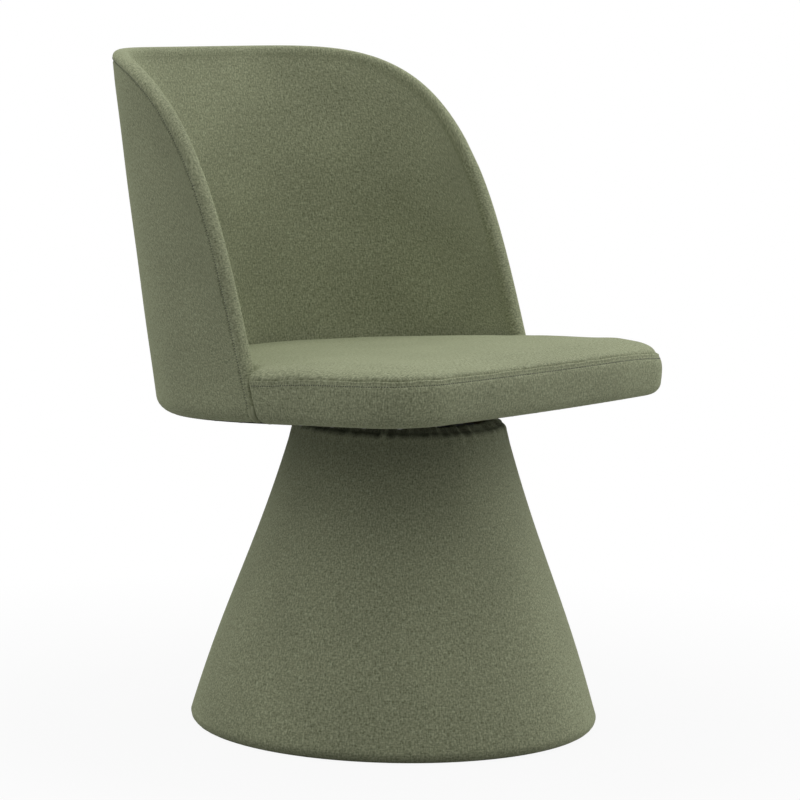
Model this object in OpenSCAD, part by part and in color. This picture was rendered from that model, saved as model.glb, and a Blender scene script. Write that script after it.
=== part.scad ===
// Swivel dining chair: an upholstered tub shell and a boxed seat pad that turn together
// on a ball-bearing plate, over a plinth shaped as an upholstered cone.
// +Z is up, the sitter faces -Y, and the origin is on the floor under the swivel axis.
// The seat and the shell are drawn in a tilted seat frame: v runs to the back along the
// seat, w runs square to it, and both start where the swivel axis meets the seat underside.

/* [Seat and shell size] */
// Height of the seat underside above the floor, on the swivel axis
seat_under_h = 400; // [392:1:420]
// Backward tilt of the seat and the shell, in degrees
seat_rake = 3.4; // [2:0.2:4]
// Width across the shell, and across the seat beside it
body_w = 568; // [540:2:600]
// Distance from the swivel axis to the middle of the seat front
seat_front = 246; // [230:1:260]
// How far each front corner lies behind the middle of the seat front
seat_bow = 14; // [8:1:20]
// How much each seat side draws in towards the front
seat_taper = 6.5; // [2:0.5:12]
// Radius of the front corners, seen from above
seat_corner_r = 67; // [50:1:80]
// Height of the seam around the seat pad above the underside
seam_h = 50; // [46:1:60]
// Rise of the seat crown above its edge
seat_crown = 15; // [8:1:22]
// Distance from the swivel axis to the back of the shell, at the underside
shell_rear = 300; // [285:1:320]
// Distance from the swivel axis to the back of the shell, at its top edge
shell_rear_top = 330; // [325:1:370]
// Height of the shell's top edge above the underside
shell_h = 451.5; // [420:1:480]
// Place of each wing's front edge at the underside, from the swivel axis
wing_foot = -9; // [-10:1:10]
// Thickness of the shell at its rim
rim_t = 22; // [20:0.5:28]
// Padding that the shell gains away from its rim
pad_swell = 20; // [8:1:28]
// Radius of the shell's lower edge
shell_foot_r = 19; // [16:0.5:22]

/* [Plinth size] */
// Radius of the cone at the floor
cone_foot_r = 257.6; // [240:0.2:275]
// Radius of the cone at its top
cone_top_r = 130.4; // [126:0.2:140]
// Gap between the plinth's top edge and the seat underside
neck_gap = 20; // [18:1:26]
// How far the cone's side swings out low down, and in higher up
cone_swing = 2.5; // [0:0.5:6]
// Radius of the cone's foot edge
cone_foot_edge = 13; // [9:1:16]
// Radius of the cone's top edge
cone_top_edge = 8; // [7:0.5:9]

/* [Materials] */
// Thickness of a fabric cover with its bonded wadding
cover_t = 3; // [2:0.5:3.5]
// Thickness of the bent plywood in the shell
ply_t = 10; // [8:0.5:11]
// Thickness of the seat board
seat_board_t = 14; // [12:1:18]
// Thickness of the boards in the plinth
plinth_board_t = 18; // [15:1:21]
// Thickness of the plinth's ribs
rib_t = 12; // [9:1:18]
// Thickness of the bent panel around the plinth
cone_panel_t = 3; // [2:0.5:4]
// Thickness of the foam around the plinth
cone_foam_t = 5; // [4:0.5:6]
// Diameter of the balls in the swivel
ball_d = 8; // [7:0.5:9]

/* [Hidden] */
$fn = 96;

// Small clearances and the overrun of every cut
touch_gap = 0.1;
layer_gap = 0.5;
ply_gap = 0.6;
soft_gap = 0.5;
overrun = 1;

// Colours
fabric_rgb = [0.50, 0.52, 0.36];
foam_rgb = [0.90, 0.86, 0.70];
ply_rgb = [0.78, 0.62, 0.42];
steel_rgb = [0.62, 0.64, 0.66];
lining_rgb = [0.16, 0.16, 0.17];

// The rim, seen from the side, is one cubic curve from the wing's foot to the middle of
// the back. Its two handles are shares of its reach and of the shell's height.
rim_lean_share = 0.177;
rim_rise_share = 0.492;
rim_sweep_share = 0.245;
rim_crest_share = 0.996;
// Where the rim's front edge passes into its top edge, along the curve
rim_turn_share = 0.46;
rim_reach = shell_rear_top - wing_foot;
rim_curve = [
    [wing_foot, 0],
    [wing_foot + rim_lean_share * rim_reach, rim_rise_share * shell_h],
    [wing_foot + rim_sweep_share * rim_reach, rim_crest_share * shell_h],
    [shell_rear_top, shell_h]];

// The shell's plan is a superellipse behind its widest place, squarer towards the top
widest_v = 5;
plan_power_low = 2.12;
plan_power_top = 2.86;
half_w = body_w / 2;
shell_columns = 13;
shell_rows = 9;
foot_turns = 3;
hem_reach = 9;

// The dust cover is the lowest layer, then the hems, then the seat board
dust_t = 1;
dust_past_fold = 3;
hem_w = dust_t;
seat_board_w = hem_w + cover_t;
seat_board_top_w = seat_board_w + seat_board_t;
rebate_h = 5;
ply_foot_w = seat_board_w + rebate_h;

// The rim band is as thick as a cover and swells a little along its middle
band_edge = 1.2;
band_swell = 1;

// The seat pad
welt_d = 6;
welt_sides = 6;
pad_edge_in = welt_d;
pad_top_w = seam_h + welt_d - band_edge;
border_foot_r = 7;
crown_power = 3;
crown_share = [0.94, 0.84, 0.68, 0.45, 0.2];
corner_share = 0.55;
tub_points = 9;
side_points = 3;
corner_points = 5;
front_points = 4;

// The swivel: two square plates, each with a grooved ring, and a riveted centre pin
plate_w = 150;
plate_t = 2;
plate_corner_r = 12;
race_r = 58;
race_w = 16;
race_h = 3;
race_floor = 1;
race_gap = 0.15;
ball_count = 18;
cage_t = 1.2;
cage_w = 14;
pin_d = 16;
pin_flange_d = 30;
pin_flange_t = 3;
pin_head_d = 24;
pin_head_t = 3;
washer_d = 30;
washer_t = 1.8;
bolt_place = 62;
bolt_d = 6;
bolt_head_d = 12;
bolt_head_t = 3.2;
hole_gap = 0.3;
nut_flange_d = 19;
nut_flange_t = 1.5;
nut_barrel_d = 9;
seat_screw_d = 5;
seat_screw_grip = 4;
seat_screw_head_d = 9.5;
block_w = 150;
block_bore_d = 60;

// Heights in the plinth and the swivel
floor_pad_t = 3;
floor_gap = 1;
cone_h = seat_under_h - neck_gap;
cone_lip_h = 8;
deck_h = cone_h - cone_lip_h;
ball_h = deck_h + plate_t + race_floor + ball_d / 2;
upper_plate_h = 2 * ball_h - deck_h - plate_t;
swivel_top_h = upper_plate_h + plate_t;
cone_points = 14;
cone_arc_points = 5;
rib_count = 6;
rib_inner_r = 45;
rib_fit = 0.65;
hem_w_plinth = 12;

// Screws through the bent plywood into the edge of the seat board
shell_screw_d = 4;
shell_screw_head_d = 8;
shell_screw_len = 34;
screw_sink = 0.9;
shell_screw_angles = [8, 30, 52, 72, 90];
shell_screw_w = (ply_foot_w + seat_board_top_w) / 2;

function mix(a, b, s) = a + (b - a) * s;

// A cubic curve through four points, and its direction
function curve(p, s) =
    pow(1 - s, 3) * p[0] + 3 * pow(1 - s, 2) * s * p[1]
    + 3 * (1 - s) * s * s * p[2] + s * s * s * p[3];
function curve_dir(p, s) =
    3 * pow(1 - s, 2) * (p[1] - p[0]) + 6 * (1 - s) * s * (p[2] - p[1])
    + 3 * s * s * (p[3] - p[2]);

// The rim curve moved into the shell by a distance, as [v, w]
function rim_side(s, inset) =
    let (p = curve(rim_curve, s), d = curve_dir(rim_curve, s), m = norm(d))
    [p[0] + inset * d[1] / m, p[1] - inset * d[0] / m];

// Place along the rim's front edge that lies at height w
function rim_at_height(w, inset, low = 0, high = rim_turn_share, steps = 24) =
    let (middle = (low + high) / 2)
    steps == 0 ? middle
    : rim_side(middle, inset)[1] < w ? rim_at_height(w, inset, middle, high, steps - 1)
    : rim_at_height(w, inset, low, middle, steps - 1);

// Front edge of the wing at height w
function wing_v(w) = rim_side(rim_at_height(w, 0), 0)[0];

// The shell's outer surface, by plan angle (0 at the side, 90 at the back) and height,
// with each point moved inwards by a depth
function rear_v(w) = mix(shell_rear, shell_rear_top, w / shell_h);
function plan_power(w) = mix(plan_power_low, plan_power_top, w / shell_h);
function plan_angle(v, w) =
    v < widest_v ? atan2(v - widest_v, half_w)
    : let (n = plan_power(w), q = min(1, (v - widest_v) / (rear_v(w) - widest_v)))
    atan2(v - widest_v, half_w * pow(1 - pow(q, n), 1 / n));
function side_point(angle, w, depth) =
    angle < 0 ? [half_w - depth, widest_v + half_w * tan(angle)]
    : let (n = plan_power(w), b = rear_v(w) - widest_v,
        r = pow(pow(cos(angle) / half_w, n) + pow(sin(angle) / b, n), -1 / n),
        x = r * cos(angle), y = r * sin(angle),
        slope = [pow(max(x, 0) / half_w, n - 1) / half_w, pow(y / b, n - 1) / b],
        m = norm(slope))
    [x - depth * slope[0] / m, widest_v + y - depth * slope[1] / m];
function shell_point(angle, w, depth) =
    let (p = side_point(angle > 90 ? 180 - angle : angle, w, depth))
    [angle > 90 ? -p[0] : p[0], p[1], w];

// Place along the rim's top edge that lies at a plan angle
function rim_at_angle(angle, inset, low = rim_turn_share, high = 1, steps = 24) =
    let (middle = (low + high) / 2, p = rim_side(middle, inset))
    steps == 0 ? middle
    : plan_angle(p[0], p[1]) < angle ? rim_at_angle(angle, inset, middle, high, steps - 1)
    : rim_at_angle(angle, inset, low, middle, steps - 1);

// Stations along the rim that every layer of the shell and the rim band share: places on
// the curve up the front edge, then plan angles along the top edge
foot_level = hem_w + shell_foot_r;
layer_in = cover_t + layer_gap;
front_low = rim_at_height(foot_level, layer_in);
front_places = [for (j = [0 : shell_rows]) mix(front_low, rim_turn_share, j / shell_rows)];
turn_point = rim_side(rim_turn_share, layer_in);
turn_angle = plan_angle(turn_point[0], turn_point[1]);
top_angles = [for (i = [0 : shell_columns]) mix(turn_angle, 90, i / shell_columns)];

// Half of the shell as a grid of [plan angle, height, share from the front edge, share up],
// blended from its four edges: front edge, top edge, foot and middle of the back
function half_grid() =
    let (
        front = [for (s = front_places)
            let (p = rim_side(s, layer_in)) [plan_angle(p[0], p[1]), p[1]]],
        turn = front[shell_rows],
        top = [for (a = top_angles) [a, rim_side(rim_at_angle(a, layer_in), layer_in)[1]]],
        crest = top[shell_columns])
    [for (j = [0 : shell_rows]) [for (i = [0 : shell_columns])
        let (
            u = i / shell_columns,
            t = j / shell_rows,
            foot = [mix(front[0][0], 90, u), foot_level],
            back = [90, mix(foot_level, crest[1], t)],
            corners = (1 - u) * (1 - t) * front[0] + u * (1 - t) * [90, foot_level]
                + (1 - u) * t * turn + u * t * crest,
            p = (1 - t) * foot + t * top[i] + (1 - u) * front[j] + u * back - corners)
        [p[0], p[1], u, t]]];
function mirrored_row(row) = concat(row,
    [for (i = [shell_columns - 1 : -1 : 0]) [180 - row[i][0], row[i][1], row[i][2], row[i][3]]]);
shell_grid = [for (row = half_grid()) mirrored_row(row)];

// The same grid with one row more below it, at height w
function grid_from(w) = concat([[for (g = shell_grid[0]) [g[0], w, g[2], 0]]], shell_grid);

// Thickness of the padded shell: thin at the rim, and full once these shares of the way
// in from the front edge and down from the top are reached
pad_front_share = 1 / 3;
pad_top_share = 1 / 2;
function ease(s) = sin(90 * min(1, max(0, s)));
function padded_t(u, t) = rim_t + pad_swell * ease(u / pad_front_share) * ease((1 - t) / pad_top_share);

// Outer face of the plywood, which follows the cover round the shell's foot
ply_out = cover_t + ply_gap;
ply_in = ply_out + ply_t;
function foot_depth(w) =
    let (up = foot_level - w, r = shell_foot_r - ply_out)
    up <= 0 ? ply_out : shell_foot_r - sqrt(max(0, r * r - up * up));

// A solid between two grids of points with the same rows and columns
module slab(first, second) {
    rows = len(first);
    columns = len(first[0]);
    count = rows * columns;
    points = [for (g = [first, second]) for (row = g) for (p = row) p];
    function at(g, j, i) = g * count + j * columns + i;
    function quad(a, b, c, d) = [[a, b, c], [a, c, d]];
    faces = [
        for (j = [0 : rows - 2]) for (i = [0 : columns - 2])
            each quad(at(0, j, i), at(0, j + 1, i), at(0, j + 1, i + 1), at(0, j, i + 1)),
        for (j = [0 : rows - 2]) for (i = [0 : columns - 2])
            each quad(at(1, j, i), at(1, j, i + 1), at(1, j + 1, i + 1), at(1, j + 1, i)),
        for (i = [0 : columns - 2])
            each quad(at(0, 0, i), at(0, 0, i + 1), at(1, 0, i + 1), at(1, 0, i)),
        for (i = [0 : columns - 2])
            each quad(at(0, rows - 1, i + 1), at(0, rows - 1, i),
                at(1, rows - 1, i), at(1, rows - 1, i + 1)),
        for (j = [0 : rows - 2])
            each quad(at(0, j + 1, 0), at(0, j, 0), at(1, j, 0), at(1, j + 1, 0)),
        for (j = [0 : rows - 2])
            each quad(at(0, j, columns - 1), at(0, j + 1, columns - 1),
                at(1, j + 1, columns - 1), at(1, j, columns - 1))];
    polyhedron(points, faces);
}

// A solid through closed rings of points, capped at both ends
module ring_solid(rings) {
    count = len(rings[0]);
    last = len(rings) - 1;
    points = [for (ring = rings) for (p = ring) p];
    function at(k, i) = k * count + i % count;
    ones = [for (p = rings[0]) 1];
    middle = [for (end = [0, last]) ones * rings[end] / count];
    faces = [
        for (k = [0 : last - 1]) for (i = [0 : count - 1]) each
            [[at(k, i), at(k + 1, i), at(k + 1, i + 1)], [at(k, i), at(k + 1, i + 1), at(k, i + 1)]],
        for (i = [0 : count - 1]) [at(0, i), at(0, i + 1), len(points)],
        for (i = [0 : count - 1]) [at(last, i + 1), at(last, i), len(points) + 1]];
    polyhedron(concat(points, middle), faces);
}

module in_seat_frame() {
    translate([0, 0, seat_under_h]) rotate([-seat_rake, 0, 0]) children();
}

// Outline of the seat pad at height w, moved inwards by d. The pad is T-shaped: its front
// is as wide as the shell, and behind the wings it steps in to lie inside the tub.
function step_v(w) = wing_v(w) - band_swell - soft_gap;
function pad_tub(w, d) =
    let (last = plan_angle(step_v(w) - d, w))
    [for (i = [0 : tub_points])
        let (a = mix(90, last, i / tub_points), p = side_point(a, w,
            padded_t(1 - i / tub_points, 0) + soft_gap + d))
        [p[0], i == tub_points ? step_v(w) - d : p[1]]];
function pad_front(w, d) =
    let (
        corner = [half_w - seat_taper - d, -seat_front + seat_bow + d],
        r = seat_corner_r - d,
        start = [half_w - d, step_v(w) - d],
        lean = (start - corner) / norm(start - corner),
        a = corner + r * lean,
        c = [corner[0] - r, -seat_front + d + seat_bow * pow((corner[0] - r) / corner[0], 2)],
        bend = [a, mix(a, corner, corner_share), mix(c, corner, corner_share), c])
    concat(
        [for (i = [0 : side_points - 1]) mix(start, a, i / side_points)],
        [for (i = [0 : corner_points]) curve(bend, i / corner_points)],
        [for (i = [1 : front_points]) let (x = c[0] * (1 - i / front_points))
            [x, -seat_front + d + seat_bow * pow(x / corner[0], 2)]]);
function mirrored(points) = [for (i = [len(points) - 2 : -1 : 0]) [-points[i][0], points[i][1]]];
function pad_half(w, d) = concat(pad_tub(w, d), pad_front(w, d));
function pad_ring(w, d) =
    let (half = pad_half(w, d), other = mirrored(half))
    reversed([for (p = concat(half, [for (i = [0 : len(other) - 2]) other[i]])) [p[0], p[1], w]]);

// A ring of the crown: the pad's edge drawn in to a share of its size, and raised
function crown_ring(d, share, drop) =
    [for (p = pad_ring(seam_h, d))
        [p[0] * share, mix(widest_v, p[1], share),
            pad_top_w + seat_crown * (1 - pow(share, crown_power)) - drop]];
function crown_rings(d, drop) =
    concat([[for (p = pad_ring(seam_h, d)) [p[0], p[1], pad_top_w - drop]]],
        [for (share = crown_share) crown_ring(d, share, drop)]);

// Outline of the cone at a height
function cone_r(z) = mix(cone_foot_r, cone_top_r, z / cone_h) + cone_swing * sin(360 * z / cone_h);
function cone_side(inset, low, high) =
    [for (i = [0 : cone_points]) let (z = mix(low, high, i / cone_points)) [cone_r(z) - inset, z]];
function foot_arc(inset) =
    let (c = [cone_r(cone_foot_edge + floor_gap) - cone_foot_edge, cone_foot_edge + floor_gap],
        r = cone_foot_edge - inset)
    [for (i = [0 : cone_arc_points - 1]) let (a = -90 + 90 * i / cone_arc_points)
        [c[0] + r * cos(a), c[1] + r * sin(a)]];
function top_arc(inset) =
    let (c = [cone_r(cone_h - cone_top_edge) - cone_top_edge, cone_h - cone_top_edge],
        r = cone_top_edge - inset)
    [for (i = [1 : cone_arc_points]) let (a = 90 * i / cone_arc_points)
        [c[0] + r * cos(a), c[1] + r * sin(a)]];
function cone_skin(inset) = concat(foot_arc(inset),
    cone_side(inset, cone_foot_edge + floor_gap, cone_h - cone_top_edge), top_arc(inset));
function reversed(list) = [for (i = [len(list) - 1 : -1 : 0]) list[i]];

module base_floor_pad() {
    color(lining_rgb)
        cylinder(r = cone_r(0) - cone_foot_edge - hem_w_plinth, h = floor_pad_t);
}

carcass_in = cover_t / 2 + cone_foam_t + cone_panel_t;
// Its edge follows the panel, and draws in below it to clear the turned cover
module base_bottom_board() {
    panel_foot = cone_foot_edge + floor_gap;
    high = floor_pad_t + plinth_board_t;
    inset = carcass_in + touch_gap;
    color(ply_rgb)
        rotate_extrude()
            polygon([[0, floor_pad_t], [cone_r(panel_foot) - cone_foot_edge, floor_pad_t],
                [cone_r(panel_foot) - inset, panel_foot], [cone_r(high) - inset, high],
                [0, high]]);
}

module base_top_board() {
    low = deck_h - plinth_board_t;
    inset = carcass_in + touch_gap;
    color(ply_rgb)
        difference() {
            rotate_extrude()
                polygon([[0, low], [cone_r(low) - inset, low], [cone_r(deck_h) - inset, deck_h],
                    [0, deck_h]]);
            at_bolts() translate([0, 0, deck_h - plinth_board_t - overrun])
                cylinder(d = nut_barrel_d + touch_gap, h = plinth_board_t + 2 * overrun);
            translate([0, 0, deck_h - pin_flange_t - touch_gap])
                cylinder(d = pin_flange_d + 2 * hole_gap, h = pin_flange_t + overrun);
        }
}

module base_ribs() {
    low = floor_pad_t + plinth_board_t;
    high = deck_h - plinth_board_t;
    side = cone_side(carcass_in + touch_gap + rib_fit, low, high);
    color(ply_rgb)
        for (k = [0 : rib_count - 1])
            rotate([0, 0, 360 * k / rib_count])
                rotate([90, 0, 0])
                    translate([0, 0, -rib_t / 2])
                        linear_extrude(rib_t)
                            polygon(concat([[rib_inner_r, low]], side, [[rib_inner_r, high]]));
}

module cone_layer(outer_in, inner_in, low, high) {
    rotate_extrude()
        polygon(concat(cone_side(outer_in, low, high), reversed(cone_side(inner_in, low, high))));
}

cover_thin = cover_t / 2;
module base_panel() {
    color(ply_rgb)
        cone_layer(cover_thin + cone_foam_t, carcass_in, cone_foot_edge + floor_gap, deck_h + cover_t);
}

module base_foam() {
    color(foam_rgb)
        cone_layer(cover_thin, cover_thin + cone_foam_t - touch_gap, cone_foot_edge + floor_gap,
            cone_h - cone_top_edge);
}

module base_cover() {
    outer = cone_skin(0);
    inner = cone_skin(cover_thin);
    last = len(outer) - 1;
    hem_r = cone_r(0) - cone_foot_edge - hem_w_plinth + touch_gap;
    lip_r = cone_r(deck_h) - carcass_in - cover_t;
    color(fabric_rgb)
        rotate_extrude()
            polygon(concat(
                [[hem_r, floor_gap]],
                outer,
                [[lip_r, cone_h], [lip_r, deck_h], [lip_r + cover_thin, deck_h],
                    [lip_r + cover_thin, cone_h - cover_thin]],
                reversed(inner),
                [[hem_r, floor_gap + cover_thin]]));
}

module at_bolts() {
    for (x = [-1, 1]) for (y = [-1, 1])
        translate([x * bolt_place, y * bolt_place, 0]) children();
}

module rounded_plate(low) {
    inner = plate_w / 2 - plate_corner_r;
    translate([0, 0, low])
        linear_extrude(plate_t)
            union() {
                square([plate_w, 2 * inner], center = true);
                square([2 * inner, plate_w], center = true);
                for (x = [-1, 1]) for (y = [-1, 1])
                    translate([x * inner, y * inner]) circle(r = plate_corner_r);
            }
}

// A grooved ring between two heights
module race(low) {
    difference() {
        rotate_extrude()
            translate([race_r - race_w / 2, low]) square([race_w, race_h]);
        rotate_extrude()
            translate([race_r, ball_h]) circle(r = ball_d / 2 + race_gap);
    }
}

module swivel_lower_plate() {
    color(steel_rgb) {
        difference() {
            rounded_plate(deck_h);
            at_bolts() translate([0, 0, deck_h - overrun])
                cylinder(d = bolt_d + 2 * hole_gap, h = plate_t + 2 * overrun);
            translate([0, 0, deck_h - overrun])
                cylinder(d = pin_d + touch_gap, h = plate_t + 2 * overrun);
        }
        race(deck_h + plate_t);
    }
}

module swivel_upper_plate() {
    color(steel_rgb) {
        difference() {
            rounded_plate(upper_plate_h);
            at_bolts() translate([0, 0, upper_plate_h - overrun])
                cylinder(d = seat_screw_d + 2 * hole_gap, h = plate_t + 2 * overrun);
            translate([0, 0, upper_plate_h - overrun])
                cylinder(d = pin_d + 2 * hole_gap, h = plate_t + 2 * overrun);
        }
        race(upper_plate_h - race_h);
    }
}

module at_balls() {
    for (k = [0 : ball_count - 1])
        rotate([0, 0, 360 * k / ball_count]) translate([race_r, 0, ball_h]) children();
}

module swivel_ball_cage() {
    color(steel_rgb)
        difference() {
            translate([0, 0, ball_h - cage_t / 2])
                difference() {
                    cylinder(r = race_r + cage_w / 2, h = cage_t);
                    translate([0, 0, -overrun])
                        cylinder(r = race_r - cage_w / 2, h = cage_t + 2 * overrun);
                }
            at_balls() cylinder(d = ball_d + 2 * race_gap, h = 2 * cage_t, center = true);
        }
}

module swivel_balls() {
    color(steel_rgb)
        at_balls() sphere(d = ball_d);
}

module swivel_pin() {
    shank_top = swivel_top_h + washer_t + 2 * touch_gap;
    color(steel_rgb) {
        translate([0, 0, deck_h - pin_flange_t]) cylinder(d = pin_flange_d, h = pin_flange_t);
        translate([0, 0, deck_h - overrun]) cylinder(d = pin_d, h = shank_top - deck_h + overrun);
        translate([0, 0, shank_top]) cylinder(d = pin_head_d, h = pin_head_t);
    }
}

module swivel_washer() {
    color(steel_rgb)
        translate([0, 0, swivel_top_h + touch_gap])
            difference() {
                cylinder(d = washer_d, h = washer_t);
                translate([0, 0, -overrun])
                    cylinder(d = pin_d + 2 * touch_gap, h = washer_t + 2 * overrun);
            }
}

module swivel_base_bolts() {
    grip = plinth_board_t + plate_t + nut_flange_t;
    color(steel_rgb)
        at_bolts() {
            translate([0, 0, deck_h + plate_t]) cylinder(d = bolt_head_d, h = bolt_head_t);
            translate([0, 0, deck_h + plate_t - grip]) cylinder(d = bolt_d, h = grip + overrun);
        }
}

module swivel_base_nuts() {
    low = deck_h - plinth_board_t - nut_flange_t;
    color(steel_rgb)
        at_bolts() translate([0, 0, low])
            difference() {
                union() {
                    cylinder(d = nut_flange_d, h = nut_flange_t);
                    cylinder(d = nut_barrel_d, h = plinth_board_t / 2);
                }
                translate([0, 0, -overrun])
                    cylinder(d = bolt_d + touch_gap, h = plinth_board_t);
            }
}

// All four screws have one length, which lets the front ones reach into the seat board
module seat_screw_shank(d) {
    high = board_under_z(-bolt_place) + seat_screw_grip;
    at_bolts() translate([0, 0, upper_plate_h - overrun])
        cylinder(d = d, h = high - upper_plate_h + overrun);
}

// The block under the seat board is a wedge: level below, tilted above
function board_under_z(y) = seat_under_h + seat_board_w / cos(seat_rake) - y * tan(seat_rake);

module swivel_seat_screws() {
    color(steel_rgb) {
        seat_screw_shank(seat_screw_d);
        at_bolts() translate([0, 0, upper_plate_h - bolt_head_t])
            cylinder(d = seat_screw_head_d, h = bolt_head_t);
    }
}

module seat_block() {
    half = block_w / 2;
    color(ply_rgb)
        difference() {
            rotate([90, 0, 90])
                linear_extrude(block_w, center = true)
                    polygon([[-half, swivel_top_h], [half, swivel_top_h],
                        [half, board_under_z(half)], [-half, board_under_z(-half)]]);
            translate([0, 0, swivel_top_h - overrun])
                cylinder(d = block_bore_d, h = seat_under_h);
            seat_screw_shank(seat_screw_d + touch_gap);
        }
}

// Plan of the seat board: out to the plywood inside the shell, and under the pad in front
function board_plan(shell_in, front_in) =
    let (
        w = seat_board_w,
        last = plan_angle(step_v(w) - front_in, w),
        tub = [for (i = [0 : tub_points]) side_point(mix(90, last, i / tub_points), w, shell_in)],
        half = concat(tub, pad_front(w, front_in)))
    concat(half, [for (p = mirrored(half)) p]);

module seat_board() {
    color(ply_rgb)
        difference() {
            in_seat_frame() {
                translate([0, 0, seat_board_w])
                    linear_extrude(rebate_h + touch_gap)
                        polygon(board_plan(shell_foot_r + 2 * touch_gap, cover_t + border_foot_r));
                translate([0, 0, ply_foot_w])
                    linear_extrude(seat_board_top_w - ply_foot_w)
                        polygon(board_plan(ply_in + touch_gap, layer_in));
            }
            seat_screw_shank(seat_screw_d + touch_gap);
            in_seat_frame() shell_screw_places() shell_screw_shank(shell_screw_d + touch_gap);
        }
}

module seat_dust_cover() {
    inset = shell_foot_r - dust_past_fold;
    hole = block_w + 2 * soft_gap;
    color(lining_rgb)
        in_seat_frame()
            difference() {
                linear_extrude(dust_t) polygon(board_plan(inset, inset));
                translate([0, 0, -overrun])
                    linear_extrude(dust_t + 2 * overrun) square([hole, hole], center = true);
            }
}

module seat_foam() {
    color(foam_rgb)
        in_seat_frame()
            ring_solid(concat(
                [pad_ring(seat_board_top_w, layer_in), pad_ring(seam_h, layer_in),
                    pad_ring(seam_h, pad_edge_in + cover_t)],
                crown_rings(pad_edge_in + cover_t, cover_t)));
}

module seat_top_cover() {
    inner_in = pad_edge_in + cover_t;
    color(fabric_rgb)
        in_seat_frame()
            ring_solid(concat(
                reversed(crown_rings(inner_in, cover_t)),
                [pad_ring(seam_h, inner_in), pad_ring(seam_h, pad_edge_in)],
                crown_rings(pad_edge_in, 0)));
}

// Points across the pad's border, as [height, depth]: up the side from the turned hem
function border_profile(skin) =
    let (r = border_foot_r - skin, low = hem_w + border_foot_r)
    concat([[hem_w + skin, border_foot_r + hem_reach]],
        [for (i = [0 : foot_turns]) let (a = 90 - 90 * i / foot_turns)
            [low - r * sin(a), border_foot_r - r * cos(a)]],
        [[(low + seam_h) / 2, skin], [seam_h, skin]]);
function whole_front(w, d) = let (half = pad_front(w, d)) concat(half, mirrored(half));
function border_sheet(skin) =
    [for (q = border_profile(skin)) [for (p = whole_front(q[0], q[1])) [p[0], p[1], q[0]]]];

module seat_border() {
    color(fabric_rgb)
        in_seat_frame() slab(border_sheet(cover_t), border_sheet(0));
}

// The part of the border inside the tub, and across the two steps behind the wings
function step_row(w, d) =
    let (tub = pad_tub(w, d), x = half_w - cover_t - soft_gap)
    concat([[x, step_v(w) - d]], reversed(tub));
function whole_rear(w, d) =
    let (half = step_row(w, d)) [for (p = concat(half, mirrored(half))) [p[0], p[1], w]];

module seat_rear_border() {
    color(fabric_rgb)
        in_seat_frame()
            slab([for (w = [seat_board_top_w, seam_h]) whole_rear(w, 0)],
                [for (w = [seat_board_top_w, seam_h]) whole_rear(w, cover_t)]);
}

// The welt is a small cord around the pad's upper edge, from wing to wing
module seat_welt() {
    r = welt_d / 2;
    turns = [for (k = [0 : welt_sides - 1]) 360 * (k + 1 / 2) / welt_sides];
    rows = [for (a = turns)
        [for (p = whole_front(seam_h, r - r * cos(a))) [p[0], p[1], seam_h + r + r * sin(a)]]];
    color(fabric_rgb)
        in_seat_frame()
            ring_solid([for (i = [0 : len(rows[0]) - 1]) [for (row = rows) row[i]]]);
}

module shell_screw_places() {
    for (side = [1, -1]) for (a = shell_screw_angles)
        if (side > 0 || a < 90)
            let (depth = foot_depth(shell_screw_w - shell_screw_head_d / 2) + screw_sink,
                p = side_point(a, shell_screw_w, depth),
                q = side_point(a, shell_screw_w, depth + shell_screw_d))
            translate([side * p[0], p[1], shell_screw_w])
                rotate([0, 0, atan2(q[1] - p[1], side * (q[0] - p[0]))])
                    rotate([0, 90, 0]) children();
}

module shell_screw_shank(d) {
    cylinder(d = d, h = shell_screw_len);
}

module shell_screw_head(d) {
    cylinder(d1 = d, d2 = shell_screw_d, h = (shell_screw_head_d - shell_screw_d) / 2);
}

module shell_screws() {
    color(steel_rgb)
        in_seat_frame() shell_screw_places() union() {
            shell_screw_shank(shell_screw_d);
            shell_screw_head(shell_screw_head_d);
        }
}

// The faces between the shell's layers, each at a depth under the outer surface
function skin(grid, depth) =
    [for (row = grid) [for (g = row) shell_point(g[0], g[1], depth)]];
function padded_skin(grid, less) =
    [for (row = grid) [for (g = row) shell_point(g[0], g[1], padded_t(g[2], g[3]) - less)]];
function ply_skin(grid) =
    [for (row = grid) [for (g = row) shell_point(g[0], g[1], foot_depth(g[1]))]];

module shell_plywood() {
    grid = grid_from(ply_foot_w);
    color(ply_rgb)
        in_seat_frame()
            difference() {
                slab(ply_skin(grid), skin(grid, ply_in));
                shell_screw_places() shell_screw_shank(shell_screw_d + touch_gap);
                shell_screw_places() shell_screw_head(shell_screw_head_d + touch_gap);
                shell_screw_places() translate([0, 0, -shell_foot_r])
                    cylinder(d = shell_screw_head_d + touch_gap, h = shell_foot_r);
            }
}

module shell_foam() {
    grid = grid_from(seat_board_top_w);
    color(foam_rgb)
        in_seat_frame() slab(skin(grid, ply_in), padded_skin(grid, cover_t));
}

module shell_inner_cover() {
    grid = grid_from(seat_board_top_w);
    color(fabric_rgb)
        in_seat_frame() slab(padded_skin(grid, cover_t), padded_skin(grid, 0));
}

// The outer cover turns under the shell's rounded foot and ends in a short hem
function foot_rows(row, thick) =
    let (r = shell_foot_r)
    concat([[for (g = row) shell_point(g[0], hem_w + thick, r + hem_reach)]],
        [for (k = [0 : foot_turns - 1]) let (a = 90 - 90 * k / foot_turns)
            [for (g = row) let (w = foot_level - (r - thick) * sin(a))
                shell_point(g[0], w, r - (r - thick) * cos(a))]]);

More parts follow.
